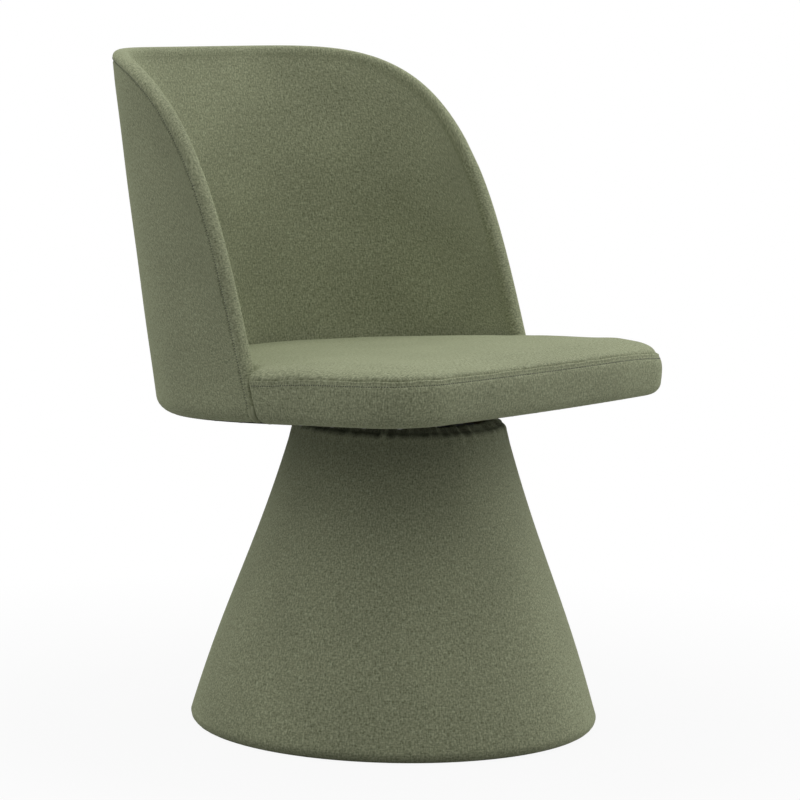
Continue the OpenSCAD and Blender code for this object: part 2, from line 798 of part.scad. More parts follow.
module shell_outer_cover() {
    color(fabric_rgb)
        in_seat_frame()
            slab(concat(foot_rows(shell_grid[0], 0), skin(shell_grid, 0)),
                concat(foot_rows(shell_grid[0], cover_t), skin(shell_grid, cover_t)));
}

// The rim band closes the edge of the shell from foot to foot. Its points go across the
// edge as [depth, distance in from the rim].
band_profile = [[rim_t, cover_t], [rim_t, band_edge], [rim_t - band_edge, 0],
    [rim_t / 2, -band_swell], [band_edge, 0], [0, band_edge], [0, cover_t]];
function band_front(s) =
    [for (q = band_profile) let (p = rim_side(s, q[1]))
        shell_point(plan_angle(p[0], p[1]), p[1], q[0])];
function band_top(angle) =
    [for (q = band_profile) let (p = rim_side(rim_at_angle(angle, q[1]), q[1]))
        shell_point(angle, p[1], q[0])];

module shell_rim_band() {
    half = concat(
        [for (s = front_places) band_front(s)],
        [for (i = [1 : shell_columns]) band_top(top_angles[i])]);
    other = [for (i = [len(half) - 2 : -1 : 0]) [for (p = half[i]) [-p[0], p[1], p[2]]]];
    color(fabric_rgb)
        in_seat_frame() ring_solid(concat(half, other));
}

base_floor_pad();
base_bottom_board();
base_top_board();
base_ribs();
base_panel();
base_foam();
base_cover();
swivel_lower_plate();
swivel_upper_plate();
swivel_ball_cage();
swivel_balls();
swivel_pin();
swivel_washer();
swivel_base_bolts();
swivel_base_nuts();
swivel_seat_screws();
seat_block();
seat_board();
seat_dust_cover();
seat_foam();
seat_top_cover();
seat_border();
seat_rear_border();
seat_welt();
shell_plywood();
shell_screws();
shell_foam();
shell_outer_cover();
shell_inner_cover();
shell_rim_band();
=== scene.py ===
# Swivel dining chair: the looks of the upholstery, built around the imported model.
# Lengths are in metres, +Z is up, the sitter faces -Y and the origin is on the floor.
import math
import bpy
import bmesh
import numpy as np
from mathutils import Matrix, Vector


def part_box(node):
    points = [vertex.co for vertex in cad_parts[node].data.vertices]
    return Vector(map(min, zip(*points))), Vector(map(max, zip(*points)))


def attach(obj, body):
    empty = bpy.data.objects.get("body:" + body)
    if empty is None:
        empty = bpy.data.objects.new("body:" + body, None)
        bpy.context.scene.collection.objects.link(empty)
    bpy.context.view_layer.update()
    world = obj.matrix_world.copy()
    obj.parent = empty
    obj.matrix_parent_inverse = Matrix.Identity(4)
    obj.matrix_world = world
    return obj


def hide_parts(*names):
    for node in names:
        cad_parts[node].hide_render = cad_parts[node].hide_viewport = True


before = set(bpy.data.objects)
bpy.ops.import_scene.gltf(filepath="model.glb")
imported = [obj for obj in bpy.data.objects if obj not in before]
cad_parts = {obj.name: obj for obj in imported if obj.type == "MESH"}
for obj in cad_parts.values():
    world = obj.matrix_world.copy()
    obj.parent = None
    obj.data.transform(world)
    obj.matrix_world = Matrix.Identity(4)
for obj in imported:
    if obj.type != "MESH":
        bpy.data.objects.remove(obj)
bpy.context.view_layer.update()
mm = 0.001
mirror = np.array([-1, 1, 1])

# Sizes of the seat and the shell, as in the part's source
seat_under_h = 400 * mm
seat_rake = math.radians(3.4)
half_w = 284 * mm
seat_front = 246 * mm
seat_bow = 14 * mm
seat_taper = 6.5 * mm
seat_corner_r = 67 * mm
seam_h = 50 * mm
shell_rear = 300 * mm
shell_rear_top = 330 * mm
shell_h = 451.5 * mm
wing_foot = -9 * mm
rim_t = 22 * mm
pad_swell = 20 * mm
shell_foot_r = 19 * mm
widest_v = 5 * mm
power_low = 2.12
power_top = 2.86
hem_w = 1 * mm
hem_reach = 9 * mm
cover_t = 3 * mm
ply_in = 13.6 * mm
board_top_w = 18 * mm
foot_level = hem_w + shell_foot_r
soft_gap = 0.5 * mm
corner_share = 0.55
border_foot_r = 16.5 * mm
pad_top_w = 54.8 * mm
block_w = 150 * mm

# The rim, seen from the side: one cubic curve from the wing's foot to the middle of the back
rim_turn_share = 0.46
rim_lean_share, rim_rise_share = 0.177, 0.492
rim_sweep_share, rim_crest_share = 0.245, 0.996
rim_reach = shell_rear_top - wing_foot
rim_curve = np.array([
    [wing_foot, 0],
    [wing_foot + rim_lean_share * rim_reach, rim_rise_share * shell_h],
    [wing_foot + rim_sweep_share * rim_reach, rim_crest_share * shell_h],
    [shell_rear_top, shell_h]])
rim_place_steps, rim_row_steps, rim_crest_steps = 400, 1500, 3000

# Sizes of the plinth
cone_foot_r = 257.6 * mm
cone_top_r = 130.4 * mm
cone_h = 380 * mm
cone_swing = 2.5 * mm
cone_foot_edge = 13 * mm
cone_top_edge = 8 * mm
floor_gap = 1 * mm
deck_h = 372 * mm
gather_top = 388.6 * mm


def mix(a, b, s):
    """From a to b by a share s."""
    return a + (b - a) * s


def ease(s):
    """Rises from 0 to 1 and levels out there."""
    return np.sin(np.pi / 2 * np.clip(s, 0, 1))


def smooth(low, high, x):
    """0 below low, 1 above high, and a smooth step between."""
    s = np.clip((x - low) / (high - low), 0, 1)
    return s * s * (3 - 2 * s)


def to_world(p):
    """From the tilted seat frame (x across, v to the back along the seat, w square to it)."""
    c, s = math.cos(seat_rake), math.sin(seat_rake)
    x, v, w = p[..., 0], p[..., 1], p[..., 2]
    return np.stack([x, v * c + w * s, seat_under_h - v * s + w * c], -1)


def unit(v):
    """The same directions with a length of 1."""
    return v / np.linalg.norm(v, axis=-1, keepdims=True)


def both_sides(half, closed=False):
    """A row from one side followed by its mirror image. The middle point isn't repeated,
    and a closed row leaves out its last point too."""
    other = half[-2:0:-1] if closed else half[-2::-1]
    return np.concatenate([half, other * mirror[:half.shape[-1]]])


def at_height(flat, w):
    """Points (x, v) laid at height w."""
    return np.concatenate([flat, np.full((len(flat), 1), w)], 1)


def cloth_grid(a, b):
    """The pairs of two rows of cloth distances, as a grid."""
    return np.stack(np.meshgrid(a, b, indexing="ij"), -1)


def joined(index):
    """A grid of point numbers whose last column is its first one again."""
    return np.concatenate([index, index[:, :1]], 1)


def waves(a, b, seed, count, low, high):
    """Smooth wandering values over two coordinates: a sum of waves with fixed seeds."""
    draw = np.random.RandomState(seed)
    total = np.zeros(np.broadcast(a, b).shape)
    for _ in range(count):
        turn = draw.uniform(0, 2 * np.pi)
        pace = 2 * np.pi / draw.uniform(low, high)
        phase = draw.uniform(0, 2 * np.pi)
        total = total + np.sin(pace * (a * math.cos(turn) + b * math.sin(turn)) + phase)
    return total / math.sqrt(count)


def rim_side(s, inset):
    """Points of the rim, seen from the side, moved into the shell by an inset."""
    s = np.asarray(s, float)[..., None]
    p0, p1, p2, p3 = rim_curve
    p = (1 - s) ** 3 * p0 + 3 * (1 - s) ** 2 * s * p1 + 3 * (1 - s) * s * s * p2 + s ** 3 * p3
    d = 3 * (1 - s) ** 2 * (p1 - p0) + 6 * (1 - s) * s * (p2 - p1) + 3 * s * s * (p3 - p2)
    m = np.linalg.norm(d, axis=-1)
    return np.stack([p[..., 0] + inset * d[..., 1] / m, p[..., 1] - inset * d[..., 0] / m], -1)


def rear_v(w):
    """How far back the shell's outer surface reaches at a height."""
    return mix(shell_rear, shell_rear_top, w / shell_h)


def plan_power(w):
    """Power of the shell's plan, a superellipse that gets squarer with height."""
    return mix(power_low, power_top, w / shell_h)


def plan_angle(v, w):
    """Plan angle of the point of the outer surface that lies at v and w."""
    n = plan_power(w)
    q = np.clip((v - widest_v) / (rear_v(w) - widest_v), 0, 1)
    back = np.arctan2(v - widest_v, half_w * (1 - q ** n) ** (1 / n))
    return np.where(v < widest_v, np.arctan2(v - widest_v, half_w), back)


def shell_point(angle, w, depth):
    """A point of the shell at a plan angle (0 at the side, a half turn at the other side),
    a height and a depth under the outer surface."""
    angle, w, depth = np.broadcast_arrays(angle, w, depth)
    side = np.where(angle > np.pi / 2, -1.0, 1.0)
    a = np.where(angle > np.pi / 2, np.pi - angle, angle)
    turned = np.clip(a, 0, np.pi / 2)
    n = plan_power(w)
    b = rear_v(w) - widest_v
    c, s = np.maximum(np.cos(turned), 0), np.maximum(np.sin(turned), 0)
    r = ((c / half_w) ** n + (s / b) ** n) ** (-1 / n)
    x, y = r * c, r * s
    gx, gy = (x / half_w) ** (n - 1) / half_w, (y / b) ** (n - 1) / b
    m = np.hypot(gx, gy)
    back = np.stack([x - depth * gx / m, widest_v + y - depth * gy / m], -1)
    front = np.stack([half_w - depth, widest_v + half_w * np.tan(np.minimum(a, 0))], -1)
    p = np.where((a < 0)[..., None], front, back)
    return np.stack([side * p[..., 0], p[..., 1], w], -1)


def rim_place_at(w, inset):
    """Where along the rim's front edge a height lies."""
    s = np.linspace(0, rim_turn_share, rim_place_steps)
    return np.interp(w, rim_side(s, inset)[:, 1], s)


def wing_v(w):
    """How far back the wing's front edge lies at a height."""
    return rim_side(rim_place_at(w, 0), 0)[..., 0]


def padded_t(u, t):
    """Thickness of the padded shell at a share from the wing's front and a share up. It
    is full from a third of the way in, and up to half way from the top."""
    return rim_t + pad_swell * ease(3 * u) * ease(2 * (1 - t))


def rim_stations(front_count, top_count):
    """Stations along the rim: places along the wing's front edge, then plan angles along
    the top of the back."""
    low = rim_place_at(foot_level, cover_t)
    places = np.linspace(low, rim_turn_share, front_count)
    turn = rim_side(rim_turn_share, cover_t)
    angles = np.linspace(plan_angle(turn[0], turn[1]), np.pi / 2, top_count)[1:]
    return places, angles


def rim_rows(stations, profile):
    """For each station, the points across the rim at (depth, inset) of a profile. Either
    value may be a function of the place along the rim."""
    def value(v, s):
        return v(s) if callable(v) else np.full(s.shape, float(v))
    places, angles = stations
    rows = []
    for depth, inset in profile:
        p = rim_side(places, value(inset, places))
        front = shell_point(plan_angle(p[:, 0], p[:, 1]), p[:, 1], value(depth, places))
        s = np.linspace(rim_turn_share, 1, rim_row_steps)
        q = rim_side(s, value(inset, s))
        at = plan_angle(q[:, 0], q[:, 1])
        w = np.interp(angles, at, q[:, 1])
        top = shell_point(angles, w, np.interp(angles, at, value(depth, s)))
        rows.append(np.concatenate([front, top]))
    return both_sides(np.stack(rows, 1))


class Shape:
    """Collects points and faces with their place on the cloth, and makes one object."""

    def __init__(self):
        self.points, self.faces, self.cloth, self.count = [], [], [], 0

    def add(self, points):
        """Adds a grid of points and gives their numbers in the same layout."""
        start = self.count
        self.points.append(points.reshape(-1, 3))
        self.count += points.size // 3
        return np.arange(start, self.count).reshape(points.shape[:-1])

    def skin(self, index, cloth):
        """Adds the faces of a grid of point numbers, with each point's place on the cloth."""
        def corners(g):
            return np.stack([g[:-1, :-1], g[1:, :-1], g[1:, 1:], g[:-1, 1:]], 2)
        self.faces.extend(corners(index).reshape(-1, 4).tolist())
        self.cloth.append(corners(cloth).reshape(-1, 2))

    def fan(self, ring, centre, cloth, middle):
        """Adds triangles from a ring of points to its centre."""
        for i in range(len(ring) - 1):
            self.faces.append([int(ring[i]), int(ring[i + 1]), int(centre)])
            self.cloth.append(np.array([cloth[i], cloth[i + 1], middle]))

    def thicken(self, back):
        """Adds the same faces on points behind the first ones, and walls round the edge."""
        count, faces = self.count, list(self.faces)
        cloth = np.concatenate(self.cloth)
        corner = np.cumsum([0] + [len(f) for f in faces])
        self.add(back)
        seen = {}
        for k, face in enumerate(faces):
            self.faces.append([i + count for i in face[::-1]])
            self.cloth.append(cloth[corner[k]:corner[k + 1]][::-1])
            for m in range(len(face)):
                a, b = face[m], face[(m + 1) % len(face)]
                seen.setdefault((min(a, b), max(a, b)), []).append((a, b, k, m, len(face)))
        for uses in seen.values():
            if len(uses) == 1:
                a, b, k, m, size = uses[0]
                self.faces.append([b, a, a + count, b + count])
                ca, cb = cloth[corner[k] + m], cloth[corner[k] + (m + 1) % size]
                self.cloth.append(np.array([cb, ca, ca, cb]))

    def make(self, name):
        mesh = bpy.data.meshes.new(name)
        mesh.from_pydata(np.concatenate(self.points).tolist(), [], self.faces)
        layer = mesh.uv_layers.new(name="cloth")
        layer.data.foreach_set("uv", np.concatenate(self.cloth).astype(np.float32).ravel())
        finish_mesh(mesh)
        piece = bpy.data.objects.new(name, mesh)
        bpy.context.scene.collection.objects.link(piece)
        return piece


def finish_mesh(mesh):
    """Turns a mesh's faces outward and shades them smooth."""
    work = bmesh.new()
    work.from_mesh(mesh)
    bmesh.ops.recalc_face_normals(work, faces=work.faces)
    work.to_mesh(mesh)
    work.free()
    mesh.polygons.foreach_set("use_smooth", [True] * len(mesh.polygons))
    mesh.update()


def along(points):
    """Distance travelled along a row of points."""
    step = np.linalg.norm(np.diff(points, axis=0), axis=1)
    return np.concatenate([[0], np.cumsum(step)])


def closed_rows(name, rows):
    """A closed solid through closed rings of points: rows has (ring, around, 3)."""
    shape = Shape()
    index = joined(shape.add(rows))
    cloth = cloth_grid(along(rows[:, 0]), along(np.concatenate([rows[0], rows[0, :1]])))
    shape.skin(index, cloth)
    for k in (0, -1):
        centre = shape.add(rows[k].mean(0)[None])[0]
        shape.fan(index[k], centre, cloth[k], cloth[k, 0])
    return shape.make(name)


# Node materials
class Nodes:
    """Short calls that add shader nodes to a material or a world and link them."""

    def __init__(self, owner):
        owner.use_nodes = True
        self.owner = owner
        self.tree = owner.node_tree
        self.shader = self.tree.nodes.get("Principled BSDF")

    def put(self, socket, value):
        if isinstance(value, bpy.types.NodeSocket):
            self.tree.links.new(value, socket)
        else:
            socket.default_value = value

    def node(self, kind, out=0, inputs=(), **settings):
        made = self.tree.nodes.new(kind)
        for key, value in settings.items():
            setattr(made, key, value)
        for key, value in dict(inputs).items():
            self.put(made.inputs[key], value)
        return made.outputs[out]

    def place(self):
        return self.node("ShaderNodeTexCoord", out="Object")

    def math(self, operation, a, b=0.0):
        return self.node("ShaderNodeMath", inputs={0: a, 1: b}, operation=operation)

    def stretched(self, place, scale):
        return self.node("ShaderNodeVectorMath", inputs={0: place, 1: scale},
                         operation="MULTIPLY")

    def noise(self, place, scale, detail=2.0, dimensions="3D"):
        return self.node("ShaderNodeTexNoise", out="Fac", noise_dimensions=dimensions,
                         inputs={"Vector": self.stretched(place, scale), "Scale": 1.0,
                                 "Detail": detail})

    def ramp(self, value, stops):
        made = self.tree.nodes.new("ShaderNodeValToRGB")
        self.put(made.inputs[0], value)
        while len(made.color_ramp.elements) < len(stops):
            made.color_ramp.elements.new(0.5)
        for element, (place, colour) in zip(made.color_ramp.elements, stops):
            element.position = place
            element.color = (*colour, 1.0)
        return made.outputs[0]

    def blend(self, share, a, b, kind="MIX"):
        made = self.tree.nodes.new("ShaderNodeMix")
        made.data_type = "RGBA"
        made.blend_type = kind
        self.put(made.inputs[0], share)
        for socket, value in ((made.inputs[6], a), (made.inputs[7], b)):
            self.put(socket, (*value, 1.0) if isinstance(value, tuple) else value)
        return made.outputs[2]

    def bump(self, height, distance, strength):
        return self.node("ShaderNodeBump", inputs={"Height": height, "Distance": distance,
                                                   "Strength": strength})

    def ranged(self, value, low, high, to_low, to_high):
        """The value from low to high turned into one from to_low to to_high."""
        return self.node("ShaderNodeMapRange",
                         inputs={0: value, 1: low, 2: high, 3: to_low, 4: to_high})

    def weighted(self, *terms):
        """The sum of (value, weight) pairs."""
        total = self.math("MULTIPLY", *terms[0])
        for term in terms[1:]:
            total = self.math("ADD", total, self.math("MULTIPLY", *term))
        return total

    def finish(self, colour, rough, normal, more=()):
        """Sets the surface's colour, roughness and normal, and any other inputs."""
        self.put(self.shader.inputs["Base Color"], colour)
        self.put(self.shader.inputs["Roughness"], rough)
        self.put(self.shader.inputs["Normal"], normal)
        for key, value in dict(more).items():
            self.shader.inputs[key].default_value = value


def fabric(name):
    """A plain-woven melange cloth. The weave lies on the piece's own cloth coordinates."""
    warp_pace, weft_pace = (760.0, 150.0, 1.0), (140.0, 720.0, 1.0)
    fleck_pace, slub_pace = (430.0, 390.0, 1.0), (520.0, 80.0, 1.0)
    patch_pace = (11.0, 11.0, 11.0)
    warp_share, weft_share, fleck_share, cell_share, mood_low = 0.8, 0.5, 1.1, 0.10, 0.75
    cell_relief, thread_relief = 0.55, 0.5
    dark, middle, light = (0.131, 0.143, 0.084), (0.250, 0.269, 0.166), (0.407, 0.431, 0.285)
    knot_colour, knot_share = (0.46, 0.48, 0.34), 0.25
    sheen_tint = (0.86, 0.94, 0.60, 1.0)
    thread_w, relief, relief_share = 1.1 * mm, 0.4 * mm, 0.55
    n = Nodes(bpy.data.materials.new(name))
    place = n.node("ShaderNodeUVMap", uv_map="cloth")
    warp = n.noise(place, warp_pace, 2.0, "2D")
    weft = n.noise(place, weft_pace, 2.0, "2D")
    fleck = n.noise(place, fleck_pace, 3.0, "2D")
    slub = n.noise(place, slub_pace, 1.0, "2D")
    patch = n.noise(n.place(), patch_pace, 3.0)
    across_cloth, up_cloth = (n.node("ShaderNodeSeparateXYZ", out=k, inputs={0: place})
                              for k in (0, 1))
    warp_side, weft_side = (
        n.math("ABSOLUTE", n.math("SINE", n.math("MULTIPLY", way, math.pi / thread_w)))
        for way in (across_cloth, up_cloth))
    over = n.node("ShaderNodeTexChecker", out="Fac",
                  inputs={"Vector": n.stretched(place, (1 / thread_w, 1 / thread_w, 1.0)),
                          "Scale": 1.0})
    cell = n.node("ShaderNodeMix", out=0, inputs={0: over, 2: warp_side, 3: weft_side})
    height = n.weighted((cell, cell_relief), (warp, thread_relief), (weft, thread_relief))
    mood = n.weighted((warp, warp_share), (weft, weft_share), (fleck, fleck_share),
                      (cell, cell_share))
    mood = n.math("SUBTRACT", mood, mood_low)
    colour = n.ramp(mood, [(0.10, dark), (0.50, middle), (0.95, light)])
    colour = n.blend(n.ranged(slub, 0.66, 0.80, 0.0, knot_share), colour, knot_colour)
    worn = n.ranged(patch, 0.3, 0.7, 0.93, 1.06)
    shade = n.node("ShaderNodeCombineColor", inputs={0: worn, 1: worn, 2: worn})
    n.finish(n.blend(1.0, colour, shade, "MULTIPLY"), n.ranged(fleck, 0.2, 0.8, 0.95, 0.78),
             n.bump(height, relief, relief_share),
             {"Specular IOR Level": 0.18, "Sheen Weight": 0.35, "Sheen Roughness": 0.45,
              "Sheen Tint": sheen_tint})
    return n.owner


def thread_with_painted_shade(name):
    """Twisted sewing thread in the cloth's hue, painted far darker than the cloth: partly the
    thread's own darker tone, partly painted shade of the stitch holes.
    """
    twist_pace, relief = (2600.0, 2600.0, 2600.0), 0.2 * mm
    # Nearly black thread: painted shade for the stitch holes between stitches, on top of the
    # thread's own darker tone
    dark, light = (0.022, 0.025, 0.015), (0.05, 0.056, 0.034)
    n = Nodes(bpy.data.materials.new(name))
    twist = n.noise(n.place(), twist_pace, 1.0)
    n.finish(n.ramp(twist, [(0.3, dark), (0.7, light)]), n.ranged(twist, 0.0, 1.0, 0.55, 0.8),
             n.bump(twist, relief, 0.5), {"Sheen Weight": 0.2})
    return n.owner


def plywood(name):
    """Pale veneer: long grain, finer pores and a faint change from sheet to sheet."""
    grain_pace, pore_pace, sheet_pace = (9.0, 160.0, 160.0), (60.0, 1300.0, 1300.0), 105.0
    dark, light = (0.44, 0.30, 0.17), (0.66, 0.50, 0.31)
    glue_colour, pore_colour, relief = (0.33, 0.21, 0.11), (0.30, 0.19, 0.10), 0.3 * mm
    n = Nodes(bpy.data.materials.new(name))
    place = n.place()
    grain = n.noise(place, grain_pace, 4.0)
    pores = n.noise(place, pore_pace, 2.0)
    layers = n.node("ShaderNodeTexWave", out="Fac", bands_direction="Z",
                    inputs={"Vector": place, "Scale": sheet_pace, "Distortion": 0.4})
    colour = n.ramp(grain, [(0.3, dark), (0.7, light)])
    colour = n.blend(n.math("MULTIPLY", layers, 0.18), colour, glue_colour)
    colour = n.blend(n.math("MULTIPLY", pores, 0.25), colour, pore_colour)
    n.finish(colour, n.ranged(pores, 0.0, 1.0, 0.5, 0.75), n.bump(pores, relief, 0.4))
    return n.owner


def steel(name):
    """Zinc-plated pressed steel with fine scratches and cloudy plating."""
    cloud_pace, scratch_pace = (70.0, 70.0, 70.0), (35.0, 2200.0, 900.0)
    dark, light, relief = (0.44, 0.45, 0.46), (0.60, 0.61, 0.62), 0.05 * mm
    n = Nodes(bpy.data.materials.new(name))
    place = n.place()
    cloud = n.noise(place, cloud_pace, 3.0)
    scratch = n.noise(place, scratch_pace, 2.0)
    n.finish(n.ramp(cloud, [(0.3, dark), (0.7, light)]), n.ranged(scratch, 0.3, 0.7, 0.28, 0.5),
             n.bump(scratch, relief, 0.4), {"Metallic": 1.0})
    return n.owner


def lining(name):
    """Black bonded fibre cloth, as used under seats, with a dotted bond pattern."""
    fibre_pace, dot_pace = (420.0, 420.0, 420.0), 420.0
    dark, light, relief = (0.012, 0.012, 0.013), (0.045, 0.045, 0.048), 0.4 * mm
    n = Nodes(bpy.data.materials.new(name))
    place = n.place()
    fibre = n.noise(place, fibre_pace, 4.0)
    dots = n.node("ShaderNodeTexVoronoi", out="Distance",
                  inputs={"Vector": place, "Scale": dot_pace})
    n.finish(n.ramp(fibre, [(0.3, dark), (0.75, light)]), n.ranged(fibre, 0.0, 1.0, 0.75, 0.95),
             n.bump(dots, relief, 0.5))
    return n.owner


cover_cloth = fabric("linen_cover")
# The thread's material is painted dark, as painted shade for the stitch holes
sewing = thread_with_painted_shade("sewing_thread_with_painted_shade")
wood = plywood("plywood_veneer")
plated = steel("plated_steel")
under_cloth = lining("under_lining")

# The shell's skin: a grid inside the rim, a strip across the rim and a turn round the foot
edge_in = 14 * mm
core_rows, core_columns = 58, 62
foot_turns = 7
least_turn_r = 0.5 * mm


def core_grid(inset):
    """The grid inside the rim: at each point its plan angle, its height, its share from
    the wing's front and its share up."""
    low = rim_place_at(foot_level, inset)
    p = rim_side(np.linspace(low, rim_turn_share, core_rows), inset)
    front = np.stack([plan_angle(p[:, 0], p[:, 1]), p[:, 1]], -1)
    angles = np.linspace(front[-1, 0], np.pi / 2, core_columns)
    q = rim_side(np.linspace(rim_turn_share, 1, rim_crest_steps), inset)
    top = np.stack([angles, np.interp(angles, plan_angle(q[:, 0], q[:, 1]), q[:, 1])], -1)
    u = np.linspace(0, 1, core_columns)[None, :, None]
    t = np.linspace(0, 1, core_rows)[:, None, None]
    start, turn, crest = front[0], front[-1], top[-1]
    end = np.array([np.pi / 2, foot_level])
    foot = mix(start, end, u)
    back = mix(end, crest, t)
    corners = (1 - u) * (1 - t) * start + u * (1 - t) * end + (1 - u) * t * turn + u * t * crest
    half = (1 - t) * foot + t * top[None] + (1 - u) * front[:, None] + u * back - corners
    u, t = (np.broadcast_to(g[..., 0], half.shape[:2]) for g in (u, t))
    half = np.concatenate([half, u[..., None], t[..., None]], -1)
    other = half[:, -2::-1].copy()
    other[..., 0] = np.pi - other[..., 0]
    return np.concatenate([half, other], 1)


core = core_grid(edge_in)


def rim_distance():
    """How far each grid point lies from the rim, and where along the rim it is nearest."""
    p = shell_point(core[..., 0], core[..., 1], 0.0)
    edge = np.concatenate([p[:, 0], p[-1, 1:], p[-2::-1, -1]])
    run = along(edge)
    far, place = np.zeros(p.shape[:2]), np.zeros(p.shape[:2])
    for j, row in enumerate(p):
        gap = np.linalg.norm(row[:, None] - edge[None], axis=2)
        k = gap.argmin(1)
        far[j], place[j] = gap[np.arange(len(row)), k] + edge_in, run[k]
    return far, place


rim_far, rim_run = rim_distance()


def foot_turn(angle, depth):
    """Points down from the foot level, round under the shell's foot and along its hem, for
    places at a depth. A depth beyond the foot's radius only gets a small turn."""
    r = np.maximum(shell_foot_r, depth + least_turn_r)
    drop = r - depth
    turns = np.linspace(np.pi / 2, 0, foot_turns, endpoint=False)[:, None]
    hem = shell_point(angle, foot_level - drop, r + hem_reach)
    turned = shell_point(angle[None], foot_level - drop * np.sin(turns),
                         r - drop * np.cos(turns))
    return np.concatenate([hem[None], turned])


def shell_layer(depth, strip):
    """The points of one face of a shell cover: the grid with the turn round its foot, and
    the (depth, inset) rows that end it at the rim."""
    places = np.linspace(rim_place_at(foot_level, edge_in), rim_turn_share, core_rows)
    over = rim_rows((places, core[-1, 1:core_columns, 0]), strip)
    grid = np.concatenate([foot_turn(core[0][:, 0], depth[0]),
                           shell_point(core[..., 0], core[..., 1], depth)])
    start = rim_side(places[0], edge_in)[0]
    first = np.array([[v(places[:1])[0] if callable(v) else v for v in row] for row in strip])
    ends = foot_turn(plan_angle(start - (edge_in - first[:, 1]), foot_level), first[:, 0])
    return grid, np.concatenate([ends, over, ends[::-1] * mirror])


def shell_cover(name, front, back):
    """One closed cover or pad of the shell. front and back are each (depth, strip)."""
    grid, over = shell_layer(*front)
    back_grid, back_over = shell_layer(*back)
    shape = Shape()
    index = shape.add(to_world(grid))
    strips = shape.add(to_world(over))
    edge = np.concatenate([index[:, 0], index[-1, 1:], index[-2::-1, -1]])
    strips = np.concatenate([edge[:, None], strips], 1)
    up = np.cumsum(np.linalg.norm(np.diff(grid, axis=0), axis=2).mean(1))
    wide = along(grid[len(grid) // 2])
    shape.skin(index, cloth_grid(np.concatenate([[0], up]), wide)[..., ::-1])
    line = np.concatenate([grid[len(grid) // 2, :1], over[len(over) // 8]])
    shape.skin(strips, cloth_grid(along(over[:, 0]), along(line)))
    shape.thicken(np.concatenate([to_world(back_grid).reshape(-1, 3),
                                  to_world(back_over).reshape(-1, 3)]))
    return shape.make(name)


# Across the rim: depth of the cloth at each inset from the crest, on the outer side
skin_inset = np.array([-0.1, 0.0, 0.4, 1.1, 2.1, 3.3, 4.5, 6.0, 8.0, 11.0, 14.0]) * mm
skin_wing = np.array([11.6, 8.6, 5.9, 3.8, 2.3, 1.3, 0.75, 0.5, 0.4, 0.35, 0.3]) * mm
skin_top = np.array([13.4, 10.6, 7.6, 5.4, 3.7, 2.45, 1.8, 1.25, 0.8, 0.45, 0.3]) * mm
wing_end_share, top_start_share = 0.38, 0.62
seam_in = 10.6 * mm
seam_half_w = 0.12 * mm
crest_in = 0.4 * mm


def top_share(s):
    """0 along the wing and 1 along the top of the back."""
    return smooth(wing_end_share, top_start_share, s)


def skin_depth(inset, s):
    """Depth of the cloth at an inset from the crest, at a place along the rim."""
    return mix(np.interp(inset, skin_inset, skin_wing), np.interp(inset, skin_inset, skin_top),
               top_share(s))


def across(share, sink, side):
    """A row beside the rim seam. share goes from 1 at the far end of its side to 0 at the
    seam, and sink is how far the cloth is drawn in there."""
    far = edge_in if side > 0 else crest_in

    def inset(s):
        return np.full(np.shape(s), mix(seam_in + side * seam_half_w, far, share))

    def depth(s):
        return skin_depth(inset(s), s) + sink
    return depth, inset


def pulled(far, run, seed, reach, pull, pucker):
    """How deep the rim seam pulls the cloth in, with puckers that run away from it."""
    slant_share, count, short, long = 0.4, 9, 9 * mm, 34 * mm
    fold = waves(run, slant_share * far, seed, count, short, long)
    return (pull + pucker * fold) * np.exp(-((far / reach) ** 2))


def moved(strip, by):
    """The same rows deeper under the surface."""
    def deeper(v):
        return (lambda s: v(s) + by) if callable(v) else v + by
    return [(deeper(depth), deeper(inset)) for depth, inset in strip]


# Outer cover: the rim seam draws it in a little and puckers it
panel_t = 1.3 * mm
outer_uneven, outer_waves, outer_calm = 0.35 * mm, (3, 12, 70 * mm, 260 * mm), 40 * mm
outer_seed, outer_reach, outer_pull, outer_pucker = 5, 15 * mm, 0.75 * mm, 0.2 * mm
uneven = outer_uneven * waves(core[..., 0] * half_w, core[..., 1], *outer_waves)
uneven = uneven * smooth(0, outer_calm, rim_far)
outer_depth = uneven + pulled(rim_far - edge_in, rim_run, outer_seed, outer_reach, outer_pull,
                              outer_pucker)
outer_strip = [across(share, sink * mm, 1) for share, sink in (
    (0.82, 0.5), (0.66, 0.54), (0.5, 0.6), (0.36, 0.68), (0.24, 0.78), (0.14, 0.95),
    (0.06, 1.2), (0.0, 1.5), (-0.02, 2.1))]
outer_panel = shell_cover("shell_outer_panel", (outer_depth, outer_strip),
                          (outer_depth + panel_t, moved(outer_strip, panel_t)))

# Inner pad: foam under one cover that rolls over the rim to the rim seam
inner_uneven, inner_waves, inner_calm = 0.7 * mm, (11, 12, 80 * mm, 300 * mm), 60 * mm
plump = waves(core[..., 0] * half_w, core[..., 1], *inner_waves)
inner_depth = padded_t(core[..., 2], core[..., 3])
inner_depth = inner_depth + inner_uneven * plump * smooth(0, inner_calm, rim_far)


def roll_row(wing_depth, top_depth, inset):
    """A row over the rim: its depth changes from the wing to the top of the back."""
    return (lambda s: mix(wing_depth, top_depth, top_share(s))), inset


